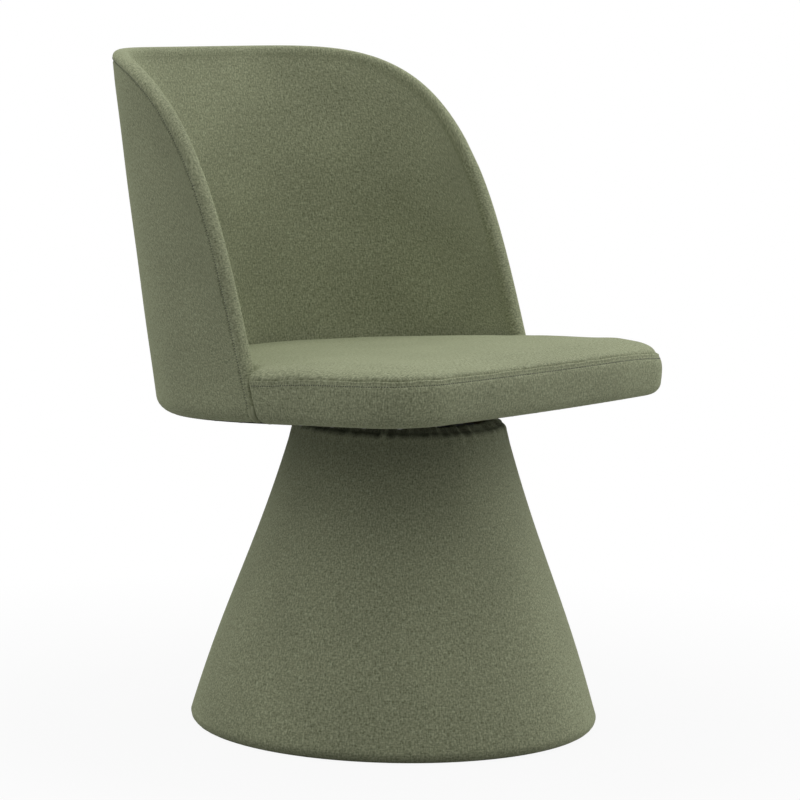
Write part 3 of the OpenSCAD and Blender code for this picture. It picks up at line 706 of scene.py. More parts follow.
# The roll over the crest to the rim seam: (depth along the wing, depth along the top, inset)
roll_rows = [roll_row(*row) for row in np.array([
    [22.0, 22.0, 12.3], [21.9, 21.9, 10.2], [21.6, 21.7, 7.9], [21.1, 21.3, 5.7],
    [20.2, 20.6, 3.7], [18.9, 19.6, 2.1], [17.0, 18.1, 0.95], [14.5, 16.0, 0.25],
    [11.6, 13.4, -0.1], [8.6, 10.6, 0.0]]) * mm]
roll_end = [across(share, sink * mm, -1) for share, sink in (
    (1.0, 0.0), (0.88, 0.0), (0.76, -0.05), (0.62, -0.15), (0.46, -0.25), (0.3, -0.2),
    (0.18, 0.05), (0.08, 0.45), (0.0, 1.1), (-0.02, 2.0))]
roll_t = 2.2 * mm
back_strip = [(ply_in, inset * mm) for inset in (12.5, 10.5, 8.8, 7.2, 5.8, 4.6, 3.6)]
back_strip += [tuple(row) for row in np.array([[13.3, 2.9], [11.3, 2.8], [8.5, 2.8]]) * mm]
back_strip += moved(roll_end, roll_t)
inner_pad = shell_cover("shell_inner_pad", (inner_depth, roll_rows + roll_end),
                        (np.full(core.shape[:2], ply_in), back_strip))


# Sewing thread
stitch_pitch = 3.3 * mm
stitch_length = 2.1 * mm
stitch_r = 0.6 * mm
stitch_arch = 0.25 * mm
stitch_lift = 0.1 * mm
rim_stitch_in = seam_in - 1.9 * mm
ring_points, ring_sides = 7, 6


def stitch_row(name, path, inside, pitch=stitch_pitch, length=stitch_length,
               radius=stitch_r, arch=stitch_arch):
    """Sewn thread along a path: one small arched stitch at each pitch. inside has a point
    behind the cloth for each point of the path."""
    least_share = 0.04
    path, out = to_world(path), to_world(path + unit(path - inside)) - to_world(path)
    run = along(path)
    count = int(run[-1] / pitch)
    centre = (np.arange(count) + 0.5) * run[-1] / count
    x = np.linspace(-1, 1, ring_points)
    place = centre[:, None] + x * length / 2
    line = np.stack([np.interp(place, run, path[:, k]) for k in range(3)], -1)
    lift = np.stack([np.interp(place, run, out[:, k]) for k in range(3)], -1)
    lift = unit(lift)
    line = line - lift * (arch * x * x)[None, :, None]
    ahead = unit(np.gradient(line, axis=1))
    side = np.cross(ahead, lift)
    thick = radius * np.sqrt(np.maximum(1 - x ** 4, least_share))
    turns = np.linspace(0, 2 * np.pi, ring_sides, endpoint=False)
    ring = (np.cos(turns)[:, None] * side[:, :, None]
            + np.sin(turns)[:, None] * lift[:, :, None]) * thick[None, :, None, None]
    points = line[:, :, None] + ring
    shape = Shape()
    index = shape.add(points)
    index = np.concatenate([index, index[:, :, :1]], 2)
    cloth = cloth_grid(x * length / 2, np.arange(ring_sides + 1) * radius)
    for stitch in index:
        shape.skin(stitch, cloth)
        shape.faces.append([int(i) for i in stitch[0, -2::-1]])
        shape.faces.append([int(i) for i in stitch[-1, :-1]])
        shape.cloth.extend([cloth[0, -2::-1], cloth[-1, :-1]])
    return shape.make(name)


def rim_stitches():
    """One row of sewing beside the rim seam."""
    def depth(s):
        return skin_depth(rim_stitch_in, s) + stitch_lift
    under, count = (11 * mm, 7 * mm), 900
    rows = rim_rows(rim_stations(count, count), [(depth, rim_stitch_in), under])
    return stitch_row("shell_rim_stitches", rows[:, 0], rows[:, 1])


# Seat pad: the same T-shaped outline as in the part's source
tub_count, step_count, side_count, corner_count, front_count = 60, 10, 26, 26, 40
step_turn_count = 7
step_corner_r = 3.5 * mm
least_corner_r = 0.4 * mm
step_depth = 30 * mm
joint_gap = 0.4 * mm
step_share = 0.14


def step_v(w):
    """How far back the pad's step lies at a height, close in front of the wing."""
    return wing_v(w) - joint_gap


def curve(points, s):
    """Points of a cubic curve with four control points."""
    s = s[:, None]
    p0, p1, p2, p3 = (np.asarray(p) for p in points)
    return (1 - s) ** 3 * p0 + 3 * (1 - s) ** 2 * s * p1 + 3 * (1 - s) * s * s * p2 + s ** 3 * p3


def pad_front(w, d, start_x=half_w - step_depth, turn_r=step_corner_r, step_in=None,
              side_in=None, start_in=None):
    """One half of the pad's front part at height w, moved in by d: along the step behind
    the wing, round its small corner, down the side and round to the middle of the front."""
    back = float(step_v(w)) - (d if step_in is None else step_in)
    side_in = d if side_in is None else side_in
    start_in = side_in if start_in is None else start_in
    turn = max(turn_r - start_in, least_corner_r)
    corner = np.array([half_w - seat_taper - side_in, -seat_front + seat_bow + d])
    r = seat_corner_r - d
    side_x = half_w - start_in
    step = np.stack([np.linspace(start_x, side_x - turn, step_count),
                     np.full(step_count, back)], -1)
    arc = np.linspace(np.pi / 2, 0, step_turn_count)[1:]
    arc = np.stack([side_x - turn + turn * np.cos(arc), back - turn + turn * np.sin(arc)], -1)
    start = arc[-1]
    lean = (start - corner) / np.linalg.norm(start - corner)
    a = corner + r * lean
    cx = corner[0] - r
    c = np.array([cx, -seat_front + d + seat_bow * (cx / corner[0]) ** 2])
    side = mix(start, a, np.linspace(0, 1, side_count)[1:-1, None])
    bend = curve([a, mix(a, corner, corner_share), mix(c, corner, corner_share), c],
                 np.linspace(0, 1, corner_count))
    x = np.linspace(cx, 0, front_count)[1:]
    front = np.stack([x, -seat_front + d + seat_bow * (x / corner[0]) ** 2], -1)
    return np.concatenate([step, arc, side, bend, front])


def pad_tub(w, d):
    """One half of the pad's edge inside the shell, from the middle of the back."""
    last = float(plan_angle(step_v(w) - d, w))
    angles = np.linspace(np.pi / 2, last, tub_count)
    depth = padded_t(np.linspace(1, 0, tub_count), 0) + soft_gap + d
    p = shell_point(angles, w, depth)[:, :2]
    p[-1, 1] = float(step_v(w)) - d
    return p


ridge_w = seam_h + 2.7 * mm
stitch_w = ridge_w - 5.6 * mm
upright_from, upright_to, upright_share = 26 * mm, 40 * mm, 0.2
sag_from, sag_to, sag_fade, sag_left_share = 22 * mm, 44 * mm, 14 * mm, 0.4
climb_from, climb_to = 10 * mm, 90 * mm
front_rise = 3.4 * mm
corner_dip = 5.6 * mm
dip_reach = 62 * mm
dip_place = np.array([half_w - seat_corner_r / 3, -seat_front + seat_corner_r / 3])


def start_inset(w, d):
    """At the wing the border stands nearly upright up to its top seam."""
    return mix(d, upright_share * d, float(smooth(upright_from, upright_to, w)))


def pad_rows(profile):
    """Rows along the pad's front outline, across a profile of (height, inset). Behind the
    wing the rows keep nearly the same place, so that the joint stays closed."""
    halves = [pad_front(w, d, step_in=step_share * d, start_in=start_inset(w, d))
              for w, d in profile]
    return np.stack([at_height(both_sides(half), w) for half, (w, d) in zip(halves, profile)], 1)


def sag_at(p, w):
    """How far the top seam lies under its height at the wings: it climbs along the sides,
    and dips round the front corner on the sitter's left."""
    fade = (1 - sag_left_share) * smooth(ridge_w, ridge_w + sag_fade, w)
    level = smooth(sag_from, sag_to, w) * (1 - fade)
    climb = front_rise * smooth(climb_from, climb_to, -p[..., 1])
    far = np.hypot(p[..., 0] - dip_place[0], p[..., 1] - dip_place[1])
    return level * (corner_dip * np.exp(-(far / dip_reach) ** 2) - climb)


def border_lean(w):
    """How far the border leans in: fullest below its middle, drawn in at the top seam."""
    heights = np.array([17, 22, 28, 34, 39, 43, 47, 50, 53]) * mm
    insets = np.array([0, -0.8, -1.4, -1.7, -1.5, -0.9, 0.4, 1.9, 3.6]) * mm
    return np.interp(w, heights, insets)


stitch_dent = 0.42 * mm
ridge_back = np.array([[3.4, 5.2], [2.2, 6.0]]) * mm
border_t = 1.6 * mm


def border_profile():
    """Border of the pad from its hem to the ridge of the top seam: (height, inset)."""
    hem_turn, seam_below, ridge_above = 4 * mm, 1.8 * mm, 5 * mm
    turn_count, face_count = 10, 15
    rows = [(hem_w, border_foot_r + hem_reach), (hem_w, border_foot_r + hem_turn)]
    for turn in np.linspace(np.pi / 2, 0, turn_count):
        rows.append((hem_w + border_foot_r * (1 - math.sin(turn)),
                     border_foot_r * (1 - math.cos(turn))))
    low, high = rows[-1][0], stitch_w - seam_below
    for w in np.linspace(low, high, face_count)[1:]:
        rows.append((w, border_lean(w)))
    for up, dent in ((-1.1, 0.10), (-0.5, 0.32), (0.0, 0.42), (0.5, 0.32), (1.1, 0.10),
                     (1.9, -0.05), (2.8, -0.05), (3.4, -0.3), (4.0, -0.65), (4.7, -0.85)):
        w = stitch_w + up * mm
        rows.append((w, border_lean(w) + dent * mm))
    for up, more in ((5.4, -0.75), (5.9, -0.25), (6.0, 0.4), (5.7, 1.0), (4.6, 1.4), (3.0, 1.6)):
        rows.append((stitch_w + up * mm, border_lean(stitch_w + ridge_above) + more * mm))
    return np.array(rows)


def seat_border():
    """The band round the pad, with the ridge of its top seam. It bulges and puckers a little."""
    fold_size, bulge_size, wave_size = 0.3 * mm, 0.45 * mm, 0.35 * mm
    fold_waves, bulge_waves, top_waves = (
        (31, 10, 9 * mm, 34 * mm), (37, 8, 60 * mm, 200 * mm), (39, 10, 12 * mm, 60 * mm))
    edge_reach, bulge_low, bulge_h, hem_end = 5 * mm, 8 * mm, 42 * mm, 8 * mm
    middle_row, ridge_rows, core_place = 14, 8, (29 * mm, 8 * mm)
    profile = border_profile()
    w, d = profile.T
    rows = pad_rows(profile)
    run = along(rows[:, middle_row])
    out = unit(rows[:, middle_row] - pad_rows([core_place])[:, 0])
    edge = np.exp(-((w - ridge_w) / edge_reach) ** 2)
    fold = fold_size * waves(run, 0 * run, *fold_waves)
    bulge = bulge_size * waves(run, 0 * run, *bulge_waves)
    middle = np.sin(np.pi * np.clip((w - bulge_low) / bulge_h, 0, 1))
    lift = fold[:, None] * edge + bulge[:, None] * middle
    rows = rows + lift[..., None] * out[:, None]
    rows[..., 2] += (wave_size * waves(run, 0 * run, *top_waves))[:, None] * edge
    rows[..., 2] -= sag_at(rows, w)
    low = smooth(hem_w, hem_end, w)
    back = np.stack([w + border_t * (1 - low), d + border_t * low], -1)
    back[-ridge_rows:] = np.linspace(*(ridge_back + np.array([stitch_w, 0])), ridge_rows)
    shape = Shape()
    shape.skin(shape.add(to_world(rows)), cloth_grid(run, along(profile)))
    behind = pad_rows(back)
    behind[..., 2] -= sag_at(behind, back[:, 0])
    shape.thicken(to_world(behind).reshape(-1, 3))
    return shape.make("seat_border_band")


def seat_stitches():
    """One row of sewing under the ridge, from wing to wing."""
    inward = 6 * mm
    dent = float(border_lean(stitch_w)) + stitch_dent
    line = pad_rows([(stitch_w, dent), (stitch_w, dent + inward)])
    line[..., 2] -= sag_at(line, stitch_w)
    skip = step_count + step_turn_count - 2
    return stitch_row("seat_seam_stitches", line[skip:-skip, 0], line[skip:-skip, 1])


# The cushion: (height, inset from the pad's outline) up its side and over its rolled edge
cushion_edge = np.array([
    [board_top_w / mm, 9.5], [24, 7.0], [36, 6.0], [45, 5.8], [50, 5.5], [52.2, 5.1],
    [54.4, 5.2], [56.5, 6.1], [58.6, 8.0], [60.7, 11.2], [62.7, 15.6], [64.4, 20.9],
    [65.8, 27.2], [67.2, 35.4], [68.4, 45.2], [69.3, 56.0]]) * mm
cushion_corner_r = 2.5 * mm
cushion_gap = 1.6 * mm
cushion_start_in = 2.6 * mm
cushion_crown = 0.9 * mm
pressed_in = 4.2 * mm
cushion_low_in = 6.5 * mm
inner_roll_share = 0.12
side_roll_share = 0.85
start_roll_share = 0.35


def cushion_shape():
    """The pad's closed form before it is filled: board level, sides, rolled edge, crown."""
    def ring(w, d):
        roll = max(d - cushion_low_in, 0)
        inner = cushion_gap + inner_roll_share * roll
        step = inner - pressed_in
        tub = pad_tub(w, inner)
        side = d - (1 - side_roll_share) * roll
        start = min(d, cushion_start_in) + start_roll_share * roll
        front = pad_front(w, d, tub[-1, 0], cushion_corner_r, step, side, start)
        return at_height(both_sides(np.concatenate([tub[:-1], front]), closed=True), w)

    rings = [ring(w, d) for w, d in cushion_edge]
    edge = rings[-1]
    for share in (0.9, 0.76, 0.6, 0.42, 0.22):
        q = edge.copy()
        q[:, 0] *= share
        q[:, 1] = mix(widest_v, q[:, 1], share)
        q[:, 2] += cushion_crown * (1 - share ** 2)
        rings.append(q)
    shape = Shape()
    index = joined(shape.add(np.stack(rings)))
    cloth = np.zeros((*index.shape, 2))
    shape.skin(index, cloth)
    for k in (0, -1):
        centre = shape.add(np.array([[0, widest_v, rings[k][0, 2]]]))[0]
        shape.fan(index[k], centre, cloth[k], cloth[k, 0])
    return shape.make("seat_cushion")


def apply_modifiers(piece):
    """Gives a piece the mesh that its modifiers make."""
    seen = bpy.context.evaluated_depsgraph_get()
    mesh = bpy.data.meshes.new_from_object(piece.evaluated_get(seen))
    piece.modifiers.clear()
    piece.data = mesh


def points_of(mesh):
    """The mesh's points as rows of (x, y, z)."""
    flat = np.empty(len(mesh.vertices) * 3, np.float32)
    mesh.vertices.foreach_get("co", flat)
    return flat.reshape(-1, 3).astype(float)


def inflate(piece, held, most):
    """Fills a closed piece as cloth under pressure. held is 1 where it can't move, and
    no point moves further than most, which may differ from point to point."""
    pressure, frames = 4.0, 20
    start = points_of(piece.data)
    group = piece.vertex_groups.new(name="held")
    for i in np.nonzero(held > 0.01)[0]:
        group.add([int(i)], float(held[i]), "REPLACE")
    cloth = piece.modifiers.new("fill", "CLOTH")
    settings = cloth.settings
    settings.quality = 5
    settings.mass = 0.3
    settings.tension_stiffness = settings.compression_stiffness = 15
    settings.shear_stiffness = 5
    settings.bending_stiffness = 0.5
    settings.use_pressure = True
    settings.uniform_pressure_force = pressure
    settings.effector_weights.gravity = 0
    settings.vertex_group_mass = "held"
    cloth.point_cache.frame_start = 1
    cloth.point_cache.frame_end = frames
    for number in range(1, frames + 1):
        bpy.context.scene.frame_set(number)
    apply_modifiers(piece)
    bpy.context.scene.frame_set(1)
    end = points_of(piece.data)
    move = end - start
    far = np.linalg.norm(move, axis=1)
    share = np.where(far > most, most / np.maximum(far, 1e-9), 1.0)
    piece.data.vertices.foreach_set("co", (start + move * share[:, None]).ravel())
    piece.vertex_groups.clear()


def relax(piece, turns, held):
    """Evens a mesh out: each point moves half way to the middle of its neighbours."""
    mesh = piece.data
    co = points_of(mesh)
    ends = np.empty(len(mesh.edges) * 2, np.int32)
    mesh.edges.foreach_get("vertices", ends)
    a, b = ends.reshape(-1, 2).T
    count = np.bincount(np.concatenate([a, b]), minlength=len(co))[:, None]
    for _ in range(turns):
        total = np.zeros_like(co)
        np.add.at(total, a, co[b])
        np.add.at(total, b, co[a])
        co = co + (1 - held)[:, None] * (total / count - co) / 2
    mesh.vertices.foreach_set("co", co.ravel())
    mesh.update()


def edge_gap(co, inset):
    """How far each point lies, seen from above, from the pad's outline moved in."""
    outline = np.concatenate([pad_tub(seam_h, inset)[:-1], pad_front(seam_h, inset)])
    outline = np.concatenate([outline, outline * np.array([-1, 1])])
    gap = np.empty(len(co))
    at_once = 2000
    for k in range(0, len(co), at_once):
        part = co[k:k + at_once, None, :2] - outline[None]
        gap[k:k + at_once] = np.linalg.norm(part, axis=2).min(1)
    return gap


def seat_cushion():
    """The cushion: filled as cloth, evened out, and laid uneven by a little."""
    voxel, quick_voxel = 5 * mm, 6 * mm
    seam_inset, near, deep = 3 * mm, 10 * mm, 80 * mm
    least_rise, more_rise = 0.5 * mm, 2.2 * mm
    held_to, free_from = ridge_w + 3 * mm, ridge_w + 11 * mm
    flat_to, rest_from = ridge_w + 2 * mm, ridge_w + 8 * mm
    rest_size, rest_waves = 0.5 * mm, (43, 12, 60 * mm, 220 * mm)
    side_cloth_share, relax_turns = 0.6, 5
    piece = cushion_shape()
    remesh = piece.modifiers.new("even", "REMESH")
    remesh.mode = "VOXEL"
    remesh.voxel_size = voxel
    apply_modifiers(piece)
    co = points_of(piece.data)
    held = 1 - smooth(held_to, free_from, co[:, 2])
    most = least_rise + more_rise * smooth(near, deep, edge_gap(co, seam_inset))
    inflate(piece, held, most)
    relax(piece, relax_turns, held)
    finer = piece.modifiers.new("finer", "SUBSURF")
    finer.levels = finer.render_levels = 1
    apply_modifiers(piece)
    mesh = piece.data
    co = points_of(mesh)
    co[:, 2] -= sag_at(co, co[:, 2])
    rest = rest_size * waves(co[:, 0], co[:, 1], *rest_waves)
    co[:, 2] += rest * smooth(flat_to, rest_from, co[:, 2])
    mesh.vertices.foreach_set("co", to_world(co).ravel())
    layer = mesh.uv_layers.get("cloth") or mesh.uv_layers.new(name="cloth")
    corner = np.empty(len(mesh.loops), np.int32)
    mesh.loops.foreach_get("vertex_index", corner)
    flat = np.stack([co[:, 0], co[:, 1] + side_cloth_share * (co[:, 2] - pad_top_w)], -1)
    layer.data.foreach_set("uv", flat[corner].astype(np.float32).ravel())
    finish_mesh(mesh)
    return piece


# Plinth: the cover turned round its foot, up the cone and gathered over the top edge
seam_angle = np.pi / 2
seam_r = 200 * mm
cloth_r = 190 * mm
foot_hem = 12 * mm
hem_lift = 0.2 * mm
plinth_t = 1.4 * mm

# The lip behind the cone's top edge, which rises before it turns in: (back, up)
lip = np.array([[1.6, 0.7], [3.4, 2.0], [5.2, 3.7], [7.0, 5.2], [8.8, 6.2], [10.6, 6.7],
                [12.2, 6.4], [13.4, 5.0], [14.2, 2.6], [14.6, -1.0], [14.8, -4.6]]) * mm
lip_end, lip_end_up = 15 * mm, 0.3 * mm


def cone_r(z):
    """The cone's radius at a height: straight, with a slight swing."""
    share = z / cone_h
    return mix(cone_foot_r, cone_top_r, share) + cone_swing * np.sin(2 * np.pi * share)


def plinth_profile():
    """Points (radius, height) from the foot hem up to the lip inside the top edge."""
    turn_count, side_count = 12, 74
    low = cone_foot_edge + floor_gap
    high = cone_h - cone_top_edge
    hem = float(cone_r(0.0)) - cone_foot_edge - foot_hem
    rows = [(hem, floor_gap + hem_lift), (hem + foot_hem / 2, floor_gap)]
    centre = float(cone_r(low)) - cone_foot_edge
    for turn in np.linspace(-np.pi / 2, 0, turn_count)[:-1]:
        rows.append((centre + cone_foot_edge * math.cos(turn),
                     low + cone_foot_edge * math.sin(turn)))
    for z in np.linspace(low, high, side_count):
        rows.append((float(cone_r(z)), z))
    centre = float(cone_r(high)) - cone_top_edge
    for turn in np.linspace(0, np.pi / 2, turn_count)[1:]:
        rows.append((centre + cone_top_edge * math.cos(turn),
                     high + cone_top_edge * math.sin(turn)))
    for back, up in lip:
        rows.append((centre - back, cone_h + up))
    rows.append((centre - lip_end, deck_h + lip_end_up))
    return np.array(rows)


def plinth_turns():
    """Angles round the plinth, closer together beside the closing seam at its rear."""
    turn_count, least_gap = 420, 0.4 * mm / seam_r
    spread = np.linspace(0, 2 * np.pi, turn_count, endpoint=False)
    beside = np.array([0.4, 0.9, 1.5, 2.2, 3, 4, 6]) * mm / seam_r
    close = seam_angle + np.concatenate([-beside[::-1], [0], beside])
    away = np.abs(spread - seam_angle) > beside[-1] + least_gap
    return np.sort(np.concatenate([spread[away], close]))


def plinth_swell(phi, z):
    """Slow unevenness of the padding on the cone's side."""
    side_low, side_full, side_fade, side_end = 5 * mm, 30 * mm, 340 * mm, 368 * mm
    total = 0 * phi * z
    for k, size in ((3, 0.25), (5, 0.3), (8, 0.22), (13, 0.16), (21, 0.10)):
        total += size * mm * np.sin(k * phi + 1.7 * k) * np.cos((z * 9 + k) * 1.3)
    return total * smooth(side_low, side_full, z) * (1 - smooth(side_fade, side_end, z))


def plinth_gather(phi, z):
    """Gathers of the cover where it is drawn over the top edge. They stand out more than
    they sink in."""
    count, fewest, most = 14, 20, 66
    turn, slope, sunk_share = 6.3, 60, 0.45
    side, side_size, edge, edge_size = (352 * mm, 372 * mm), 0.6, (374 * mm, 384 * mm), 0.9
    draw = np.random.RandomState(51)
    total = 0 * phi * z
    for k in draw.randint(fewest, most, count):
        total += np.sin(k * phi + draw.uniform(0, turn) + z * draw.uniform(-slope, slope))
    total = total / math.sqrt(count)
    total = np.where(total > 0, total, sunk_share * total)
    return total * (side_size * smooth(*side, z) + edge_size * smooth(*edge, z))


def plinth_foot(phi, z):
    """Small puckers just above the foot."""
    size, pucker_low, pucker_full, fade_from, fade_to = 0.12 * mm, 1 * mm, 5 * mm, 3 * mm, 18 * mm
    total = 0 * phi * z
    for k in (31, 44, 58, 67):
        total += np.sin(k * phi + 0.9 * k)
    return total * size * (1 - smooth(fade_from, fade_to, z)) * smooth(pucker_low, pucker_full, z)


def plinth_seam(phi, z):
    """How deep the closing seam draws the cover in, with a soft swell beside it."""
    deep, deep_w = 1.1 * mm, 0.55 * mm
    swell, swell_at, swell_w = 0.35 * mm, 2.4 * mm, 1.4 * mm
    seam_low, seam_full = 2 * mm, 12 * mm
    far = np.abs(phi - seam_angle) * seam_r
    dent = deep * np.exp(-(far / deep_w) ** 2) - swell * np.exp(-((far - swell_at) / swell_w) ** 2)
    return dent * smooth(seam_low, seam_full, z)


def plinth_cover():
    """The cover as one closed piece: each point of its face is moved in or out along the
    radius, and its inner face follows behind."""
    gather_out, gather_up = 1.5 * mm, 1.1 * mm
    rise_from, rise_to = cone_h - 7 * mm, cone_h - 1 * mm
    top_slack, least_z = 0.3 * mm, 0.9 * floor_gap
    drop_from, drop_to = 370 * mm, 379 * mm
    profile = plinth_profile()
    turns = plinth_turns()
    r, z = profile[:, None, 0], profile[:, None, 1]
    phi = turns[None]
    gather = plinth_gather(phi, z)
    radius = r + (plinth_swell(phi, z) + gather * gather_out + plinth_foot(phi, z)
                  - plinth_seam(phi, z))
    height = z + gather * gather_up * smooth(rise_from, rise_to, z)
    height = np.minimum(height, gather_top + top_slack * np.tanh((height - gather_top) / mm))
    inner_r = radius - plinth_t
    inner_z = np.clip(height, floor_gap + plinth_t, None) - plinth_t * smooth(drop_from, drop_to, z)
    outer = np.stack([radius * np.cos(phi), radius * np.sin(phi), np.maximum(height, least_z)], -1)
    inner = np.stack([inner_r * np.cos(phi), inner_r * np.sin(phi), inner_z], -1)
    wide = np.concatenate([turns, [turns[0] + 2 * np.pi]]) * cloth_r
    shape = Shape()
    shape.skin(joined(shape.add(outer)), cloth_grid(along(profile), wide)[..., ::-1])
    shape.thicken(inner.reshape(-1, 3))
    return shape.make("plinth_cover")


def felt_pad():
    """The felt disc under the plinth, with a softened edge."""
    turn_count, middle_share = 180, 0.35
    soft, half_soft = 0.8 * mm, 0.25 * mm
    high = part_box("base_floor_pad")[1]
    r, t = high[0], high[2]
    middle = middle_share * r
    profile = [(middle, 0), (r - soft, 0), (r - half_soft, half_soft), (r, soft),
               (r, t - soft), (r - half_soft, t - half_soft), (r - soft, t), (middle, t)]
    turns = np.linspace(0, 2 * np.pi, turn_count, endpoint=False)
    rows = np.array([[[a * math.cos(p), a * math.sin(p), b] for p in turns] for a, b in profile])
    return closed_rows("plinth_felt_pad", rows)


# Underside of the seat
dust_level = 4 * mm
dust_in = shell_foot_r - 3 * mm
dust_t = 0.4 * mm


def under_edge(inset, tub_points):
    """The seat's outline near its underside, moved in: one closed row of (x, v)."""
    last = float(plan_angle(step_v(dust_level) - inset, dust_level))
    tub = shell_point(np.linspace(np.pi / 2, last, tub_points), dust_level, inset)[:, :2]
    front = pad_front(dust_level, inset)[step_count + step_turn_count - 1:]
    return both_sides(np.concatenate([tub[:-1], front]), closed=True)


def dust_cloth():
    """Black cloth stapled under the seat, round the swivel's block, with a slight sag. Also
    gives its flat size and area."""
    sag_size, tuck_size, tuck_waves = 1.6 * mm, 0.5 * mm, (61, 12, 25 * mm, 80 * mm)
    sag_power, below_hem, row_count, tub_points = 0.8, 0.2 * mm, 24, 40
    outer = under_edge(dust_in, tub_points)
    inner_half = block_w / 2 + soft_gap
    inner = outer * inner_half / np.abs(outer).max(1, keepdims=True)
    share = np.linspace(0, 1, row_count)[:, None, None]
    flat = mix(inner[None], outer[None], share)
    s = share[..., 0]
    sag = sag_size * np.sin(np.pi * s) ** sag_power
    tuck = tuck_size * waves(flat[..., 0], flat[..., 1], *tuck_waves)
    w = hem_w - below_hem - (sag + tuck * np.sin(np.pi * s))
    points = np.concatenate([flat, np.minimum(w, hem_w)[..., None]], -1)
    shape = Shape()
    shape.skin(joined(shape.add(to_world(points))), joined(flat))
    shape.thicken(to_world(points + np.array([0, 0, dust_t])).reshape(-1, 3))
    piece = shape.make("seat_dust_cloth")
    x, y = outer[:, 0], outer[:, 1]
    area = abs(np.dot(x, np.roll(y, 1)) - np.dot(y, np.roll(x, 1))) / 2 - (2 * inner_half) ** 2
    return piece, (float(np.ptp(x)), float(np.ptp(y))), float(area)


def staples():
    """Wire staples that hold the dust cloth, a little inside its edge."""
    pitch, length, wire_r, arch = 46 * mm, 10 * mm, 0.5 * mm, 0.7 * mm
    level, above, from_edge, tub_points = 0.35 * mm, 1 * mm, 4.5 * mm, 200
    flat = under_edge(dust_in + from_edge, tub_points)
    return stitch_row("seat_staples", at_height(flat, level), at_height(flat, level + above),
                      pitch, length, wire_r, arch)


def dress(piece, material, body, slot, *nodes):
    """Gives a piece its material and the body it rides on, and hides the nodes it replaces. The
    slot is not used.
    """
    piece.data.materials.clear()
    piece.data.materials.append(material)
    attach(piece, body)
    if nodes:
        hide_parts(*nodes)
    return piece


dress(outer_panel, cover_cloth, "seat", "cover_fabric", "shell_outer_cover")
dress(inner_pad, cover_cloth, "seat", "cover_fabric",
      "shell_inner_cover", "shell_foam", "shell_rim_band")
dress(rim_stitches(), sewing, "seat", "cover_fabric")
cushion = dress(seat_cushion(), cover_cloth, "seat", "cover_fabric",
                "seat_top_cover", "seat_foam", "seat_rear_border")
border = dress(seat_border(), cover_cloth, "seat", "cover_fabric", "seat_border", "seat_welt")
dress(seat_stitches(), sewing, "seat", "cover_fabric")
skirt = dress(plinth_cover(), cover_cloth, "plinth", "cover_fabric", "base_cover", "base_foam")
dress(felt_pad(), under_cloth, "plinth", "lining", "base_floor_pad")
dust, dust_size, dust_area = dust_cloth()
dress(dust, under_cloth, "seat", "lining", "seat_dust_cover")
dress(staples(), plated, "seat", "swivel_steel")

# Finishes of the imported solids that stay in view
wooden = ("base_bottom_board", "base_top_board", "base_ribs", "base_panel", "seat_block",
          "seat_board", "shell_plywood")
metal = ("swivel_lower_plate", "swivel_upper_plate", "swivel_ball_cage", "swivel_balls",
         "swivel_pin", "swivel_washer", "swivel_base_bolts", "swivel_base_nuts",
         "swivel_seat_screws", "shell_screws")
for names, finish in ((wooden, wood), (metal, plated)):
    for name in names:
        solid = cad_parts[name]
        solid.data.materials.clear()
        solid.data.materials.append(finish)


def photo_camera():
    """The camera at the photograph's place, turned 52 degrees to the sitter's right."""
    turn = math.radians(-52.0)
    far, high = 4522.04 * mm, 972.16 * mm
    down, roll = 0.1245, 0.0207
    sensor_w, focal_length, nearest, farthest = 36, 165.197, 0.1, 100
    ahead = Vector((-math.sin(turn) * math.cos(down), math.cos(turn) * math.cos(down),
                    -math.sin(down)))
    right = Vector((math.cos(turn), math.sin(turn), 0))
    up = right.cross(ahead)
    rolled_right = right * math.cos(roll) + up * math.sin(roll)
    rolled_up = up * math.cos(roll) - right * math.sin(roll)
    data = bpy.data.cameras.new("photo_camera")
    data.sensor_width = sensor_w
    data.lens = focal_length
    data.clip_start, data.clip_end = nearest, farthest
    camera = bpy.data.objects.new("photo_camera", data)
    bpy.context.scene.collection.objects.link(camera)
    axes = Matrix((rolled_right, rolled_up, -ahead)).transposed().to_4x4()
    axes.translation = Vector((far * math.sin(turn), -far * math.cos(turn), high))
    camera.matrix_world = axes
    bpy.context.scene.camera = camera


def softbox(name, place, aim, size, power):
    """A soft rectangular lamp at a place, turned to shine on its aim."""
    data = bpy.data.lights.new(name, "AREA")
    data.shape = "RECTANGLE"
    data.size, data.size_y = size
    data.energy = power
    lamp = bpy.data.objects.new(name, data)
    bpy.context.scene.collection.objects.link(lamp)
    lamp.location = place
    lamp.rotation_euler = (Vector(aim) - Vector(place)).to_track_quat("-Z", "Y").to_euler()


white = (1, 1, 1, 1)


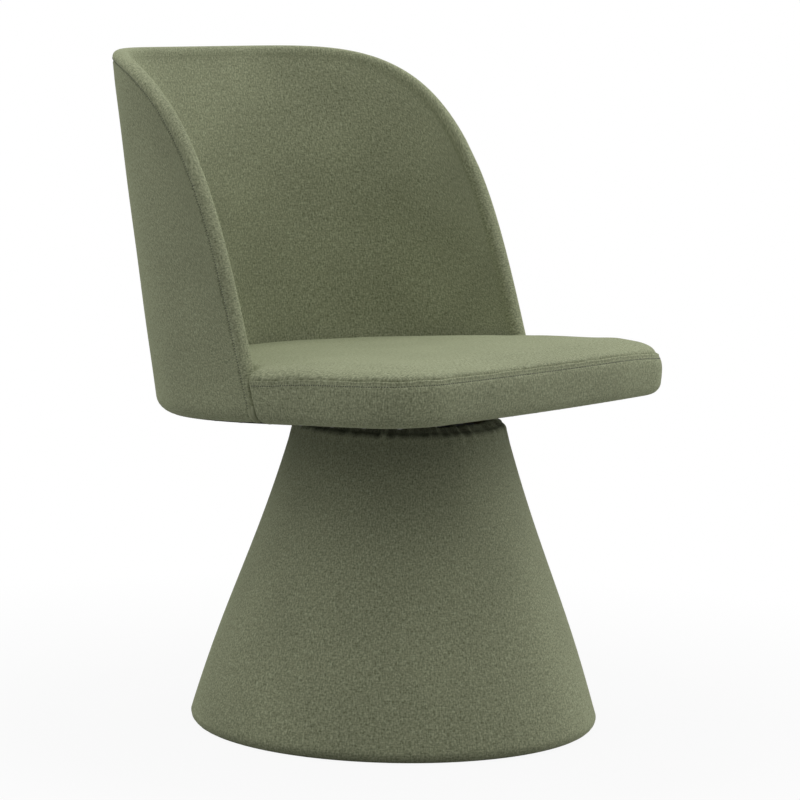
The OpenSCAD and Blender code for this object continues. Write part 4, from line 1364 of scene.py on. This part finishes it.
def studio():
    """Soft light that grows from the horizon to overhead, and four softboxes. The camera
    and reflections see plain white instead."""
    middle, overhead = (0.0, 0.0, 0.45), 1.24
    softbox("top_softbox", (0.25, 0.2, 2.8), (0.0, -0.1, 0.4), (0.9, 0.9), 12)
    softbox("left_softbox", (-1.6, 2.5, 1.3), middle, (1.6, 2.2), 11)
    softbox("right_softbox", (1.85, -2.36, 1.0), middle, (1.6, 1.6), 8)
    softbox("back_softbox", (2.87, -0.88, 1.3), middle, (1.6, 2.2), 24)
    n = Nodes(bpy.data.worlds.new("studio"))
    n.tree.nodes.clear()
    camera_ray, glossy_ray = (n.node("ShaderNodeLightPath", out=name)
                              for name in ("Is Camera Ray", "Is Glossy Ray"))
    seen = n.math("MAXIMUM", camera_ray, glossy_ray)
    up = n.node("ShaderNodeSeparateXYZ", out="Z",
                inputs={0: n.node("ShaderNodeTexCoord", out="Generated")})
    rise = n.node("ShaderNodeMapRange", inputs={"Value": up, "To Max": overhead})
    dim = n.node("ShaderNodeBackground", inputs={"Color": white, "Strength": rise})
    bright = n.node("ShaderNodeBackground", inputs={"Color": white, "Strength": 1.0})
    either = n.node("ShaderNodeMixShader", inputs={0: seen, 1: dim, 2: bright})
    n.put(n.tree.nodes.new("ShaderNodeOutputWorld").inputs[0], either)
    bpy.context.scene.world = n.owner


def pale_floor():
    """A white floor: to the camera nearly all plain white, with a faint shadow left near
    the chair."""
    half_size, mottle_pace = 7.0, (3.0, 3.0, 3.0)
    grey, pale_grey = (0.38, 0.38, 0.38), (0.40, 0.40, 0.40)
    plain_from, plain_to, near_share = 0.45, 1.1, 0.93
    corners = [(x * half_size, y * half_size, 0) for x, y in ((-1, -1), (1, -1), (1, 1), (-1, 1))]
    mesh = bpy.data.meshes.new("studio_floor")
    mesh.from_pydata(corners, [], [(0, 1, 2, 3)])
    floor = bpy.data.objects.new("studio_floor", mesh)
    bpy.context.scene.collection.objects.link(floor)
    n = Nodes(bpy.data.materials.new("studio_floor"))
    place = n.place()
    mottle = n.noise(place, mottle_pace, 2.0)
    n.put(n.shader.inputs["Base Color"], n.ramp(mottle, [(0.3, grey), (0.7, pale_grey)]))
    n.shader.inputs["Roughness"].default_value = 1.0
    n.shader.inputs["Specular IOR Level"].default_value = 0.0
    glow = n.node("ShaderNodeEmission", inputs={"Color": white, "Strength": 1.0})
    far = n.node("ShaderNodeVectorMath", out="Value", inputs={0: place}, operation="LENGTH")
    share = n.math("MULTIPLY", n.node("ShaderNodeLightPath", out="Is Camera Ray"),
                   n.ranged(far, plain_from, plain_to, near_share, 1.0))
    either = n.node("ShaderNodeMixShader", inputs={0: share, 1: n.shader.outputs[0], 2: glow})
    n.put(n.tree.nodes["Material Output"].inputs[0], either)
    mesh.materials.append(n.owner)


photo_camera()
studio()
pale_floor()
bpy.context.scene.view_settings.view_transform = "Standard"
